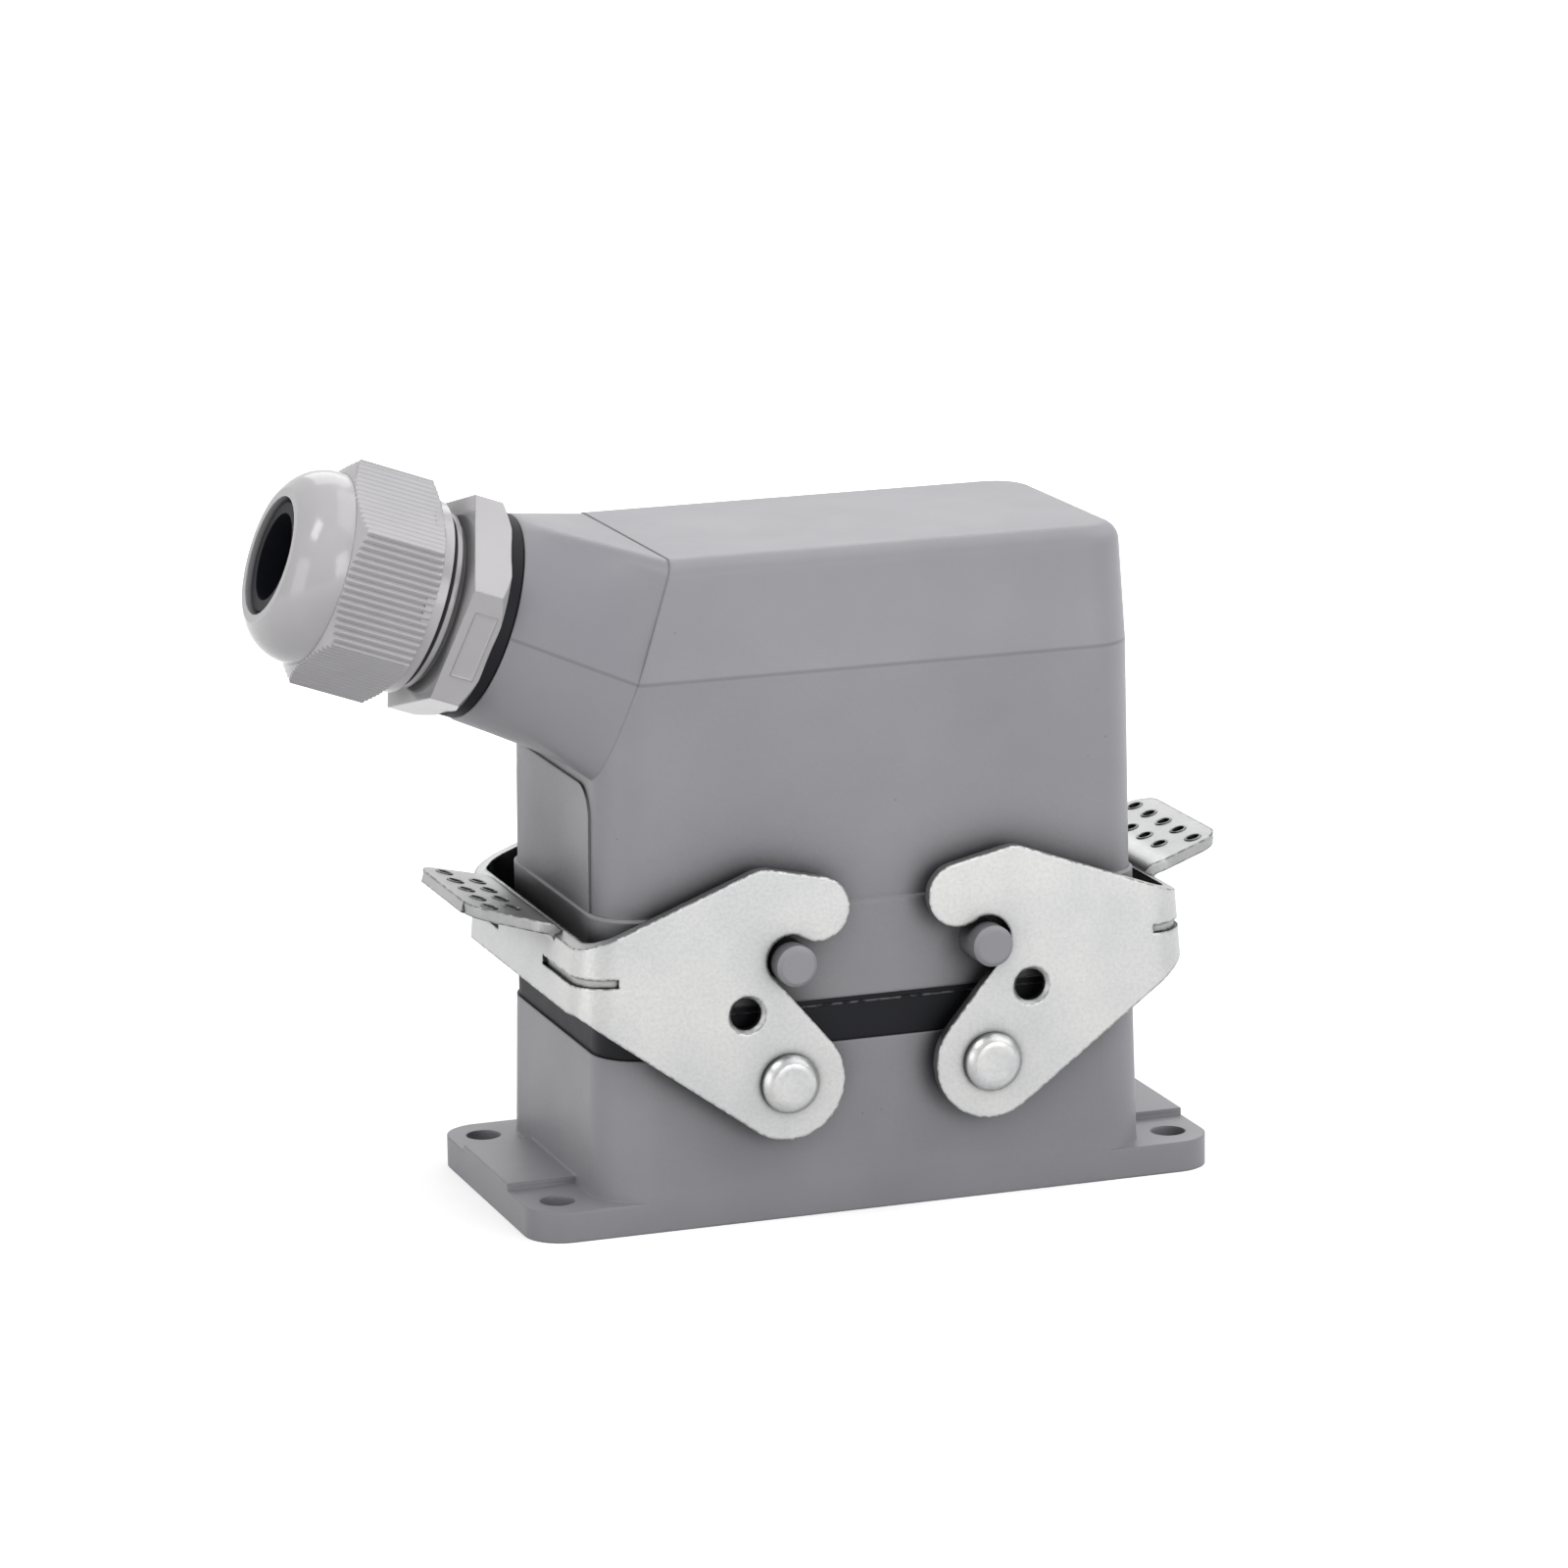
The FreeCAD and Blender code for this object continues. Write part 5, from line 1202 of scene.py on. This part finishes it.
@dataclass
class Studio:
    """Floor, world, lamps and camera.

    Attributes:
        ambient: Strength of the world's light on the object.
        floor_colour: The floor's colour where it is seen.
        floor_bounce: The duller colour that it throws back on the object.
        floor_reach: Half the floor's length in metres.
        white_from: Distance on the floor, in metres, up to which its own white is weakest.
        white_to: Distance from which it is strongest.
        white_strength: Its least and its greatest strength.
        camera_place: Where the photograph was taken from, in metres.
        camera_aim: The point in the middle of its frame.
        camera_roll: The camera's roll in degrees.
        camera_lens: Its lens in millimetres.
        camera_sensor: Its sensor's width in millimetres.
        camera_clip: How near and how far it sees, in metres.
        target: What the lamps point at.
    """

    ambient: float = 0.38
    floor_colour: str = "#F4F4F4"
    floor_bounce: str = "#BEBEBE"
    floor_reach: float = 4.0
    white_from: float = 0.07
    white_to: float = 0.7
    white_strength: tuple[float, float] = (0.42, 0.95)
    camera_place: tuple[float, float, float] = (-0.26945, -0.75242, 0.23496)
    camera_aim: tuple[float, float, float] = (-0.00074, 0.01201, 0.04806)
    camera_roll: float = -0.832
    camera_lens: float = 146.7
    camera_sensor: float = 36.0
    camera_clip: tuple[float, float] = (0.05, 20.0)
    target: tuple[float, float, float] = (0.0, 0.0, 0.045)

    def build(self) -> None:
        """Sets up the whole studio."""
        self.add_floor()
        self.set_world()
        for lamp in Lamp:
            self.add_lamp(lamp)
        self.add_camera()
        bpy.context.scene.view_settings.view_transform = "Standard"
        LOG.info("studio: %d lamps", len(Lamp))

    @staticmethod
    def seen_ray(tree: Tree) -> Socket:
        """Tells the rays that see the background itself from those that carry light.

        Args:
            tree: The node tree.

        Returns:
            A socket that is 1 for camera, glossy and transmission rays.
        """
        path = add_node(tree, "ShaderNodeLightPath")
        first = add_node(
            tree,
            "ShaderNodeMath",
            links={0: path.outputs["Is Camera Ray"], 1: path.outputs["Is Glossy Ray"]},
            operation="MAXIMUM",
        )
        both = add_node(
            tree,
            "ShaderNodeMath",
            links={0: first.outputs[0], 1: path.outputs["Is Transmission Ray"]},
            operation="MAXIMUM",
        )
        return both.outputs[0]

    def add_floor(self) -> None:
        """Lays a wide plain floor that keeps the object's shadow."""
        shape = bmesh.new()
        bmesh.ops.create_grid(shape, x_segments=1, y_segments=1, size=self.floor_reach)
        floor = finished("floor", shape, smooth=False)
        material = bpy.data.materials.new("matt studio paper")
        material.use_nodes = True
        tree = material.node_tree
        tree.nodes.clear()
        seen = self.seen_ray(tree)
        tone = add_node(
            tree,
            "ShaderNodeMix",
            {MIX_FIRST: linear(self.floor_bounce), MIX_SECOND: linear(self.floor_colour)},
            {MIX_SHARE: seen},
            data_type="RGBA",
        )
        paper = add_node(
            tree, "ShaderNodeBsdfDiffuse", {"Roughness": 0.0}, {"Color": tone.outputs[MIX_RESULT]}
        )
        place = add_node(tree, "ShaderNodeTexCoord").outputs["Object"]
        away = add_node(tree, "ShaderNodeVectorMath", links={0: place}, operation="LENGTH")
        # The lamps fade out towards the back of the floor, so its own white takes over there.
        least, greatest = self.white_strength
        white = add_node(
            tree,
            "ShaderNodeMapRange",
            {"From Min": self.white_from, "From Max": self.white_to, "To Min": least, "To Max": greatest},
            {"Value": away.outputs["Value"]},
        )
        lift = add_node(tree, "ShaderNodeEmission", {"Color": WHITE}, {"Strength": white.outputs[0]})
        both = add_node(tree, "ShaderNodeAddShader", links={0: paper.outputs[0], 1: lift.outputs[0]})
        shown = add_node(
            tree, "ShaderNodeMixShader", links={0: seen, 1: paper.outputs[0], 2: both.outputs[0]}
        )
        add_node(tree, "ShaderNodeOutputMaterial", links={"Surface": shown.outputs[0]})
        floor.data.materials.append(material)

    def set_world(self) -> None:
        """Makes the world white where it is seen and softer where it only lights."""
        world = bpy.data.worlds.new("studio")
        bpy.context.scene.world = world
        world.use_nodes = True
        tree = world.node_tree
        tree.nodes.clear()
        strength = add_node(
            tree,
            "ShaderNodeMapRange",
            {"To Min": self.ambient, "To Max": 1.0},
            {"Value": self.seen_ray(tree)},
        )
        sky = add_node(tree, "ShaderNodeBackground", {"Color": WHITE}, {"Strength": strength.outputs[0]})
        add_node(tree, "ShaderNodeOutputWorld", links={"Surface": sky.outputs[0]})

    def add_lamp(self, lamp: Lamp) -> None:
        """Hangs one soft box and points it at the object.

        Args:
            lamp: The soft box.
        """
        place, size, power = lamp.value
        light = bpy.data.lights.new(lamp.name, "AREA")
        light.shape = "RECTANGLE"
        light.size, light.size_y = size
        light.energy = power
        lamp_object = bpy.data.objects.new(lamp.name, light)
        lamp_object.location = place
        aim = Vector(self.target) - Vector(place)
        lamp_object.rotation_mode = "QUATERNION"
        lamp_object.rotation_quaternion = aim.to_track_quat("-Z", "Y")
        bpy.context.scene.collection.objects.link(lamp_object)

    def add_camera(self) -> None:
        """Sets the camera where the photograph was taken from."""
        camera = bpy.data.cameras.new("camera")
        camera.lens = self.camera_lens
        camera.sensor_width = self.camera_sensor
        camera.clip_start, camera.clip_end = self.camera_clip
        camera_object = bpy.data.objects.new("camera", camera)
        place = Vector(self.camera_place)
        look = (Vector(self.camera_aim) - place).to_track_quat("-Z", "Y")
        roll = Quaternion((0, 0, 1), math.radians(self.camera_roll))
        camera_object.location = place
        camera_object.rotation_mode = "QUATERNION"
        camera_object.rotation_quaternion = look @ roll
        bpy.context.scene.collection.objects.link(camera_object)
        bpy.context.scene.camera = camera_object


def main() -> None:
    logging.basicConfig(level=logging.INFO, format="%(name)s %(message)s")
    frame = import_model()
    nodes = frame["nodes"]
    wardrobe = Wardrobe()
    groups: list[SubAssembly] = [
        Housing(nodes, wardrobe),
        Seals(nodes, wardrobe),
        LockingLever(nodes, wardrobe, body="lever_right", side=1),
        LockingLever(nodes, wardrobe, body="lever_left", side=-1),
        PivotPins(nodes, wardrobe),
        Inserts(nodes, wardrobe),
        Gland(nodes, wardrobe),
    ]
    for group in groups:
        group.build()
    Studio().build()


if __name__ == "__main__":
    main()
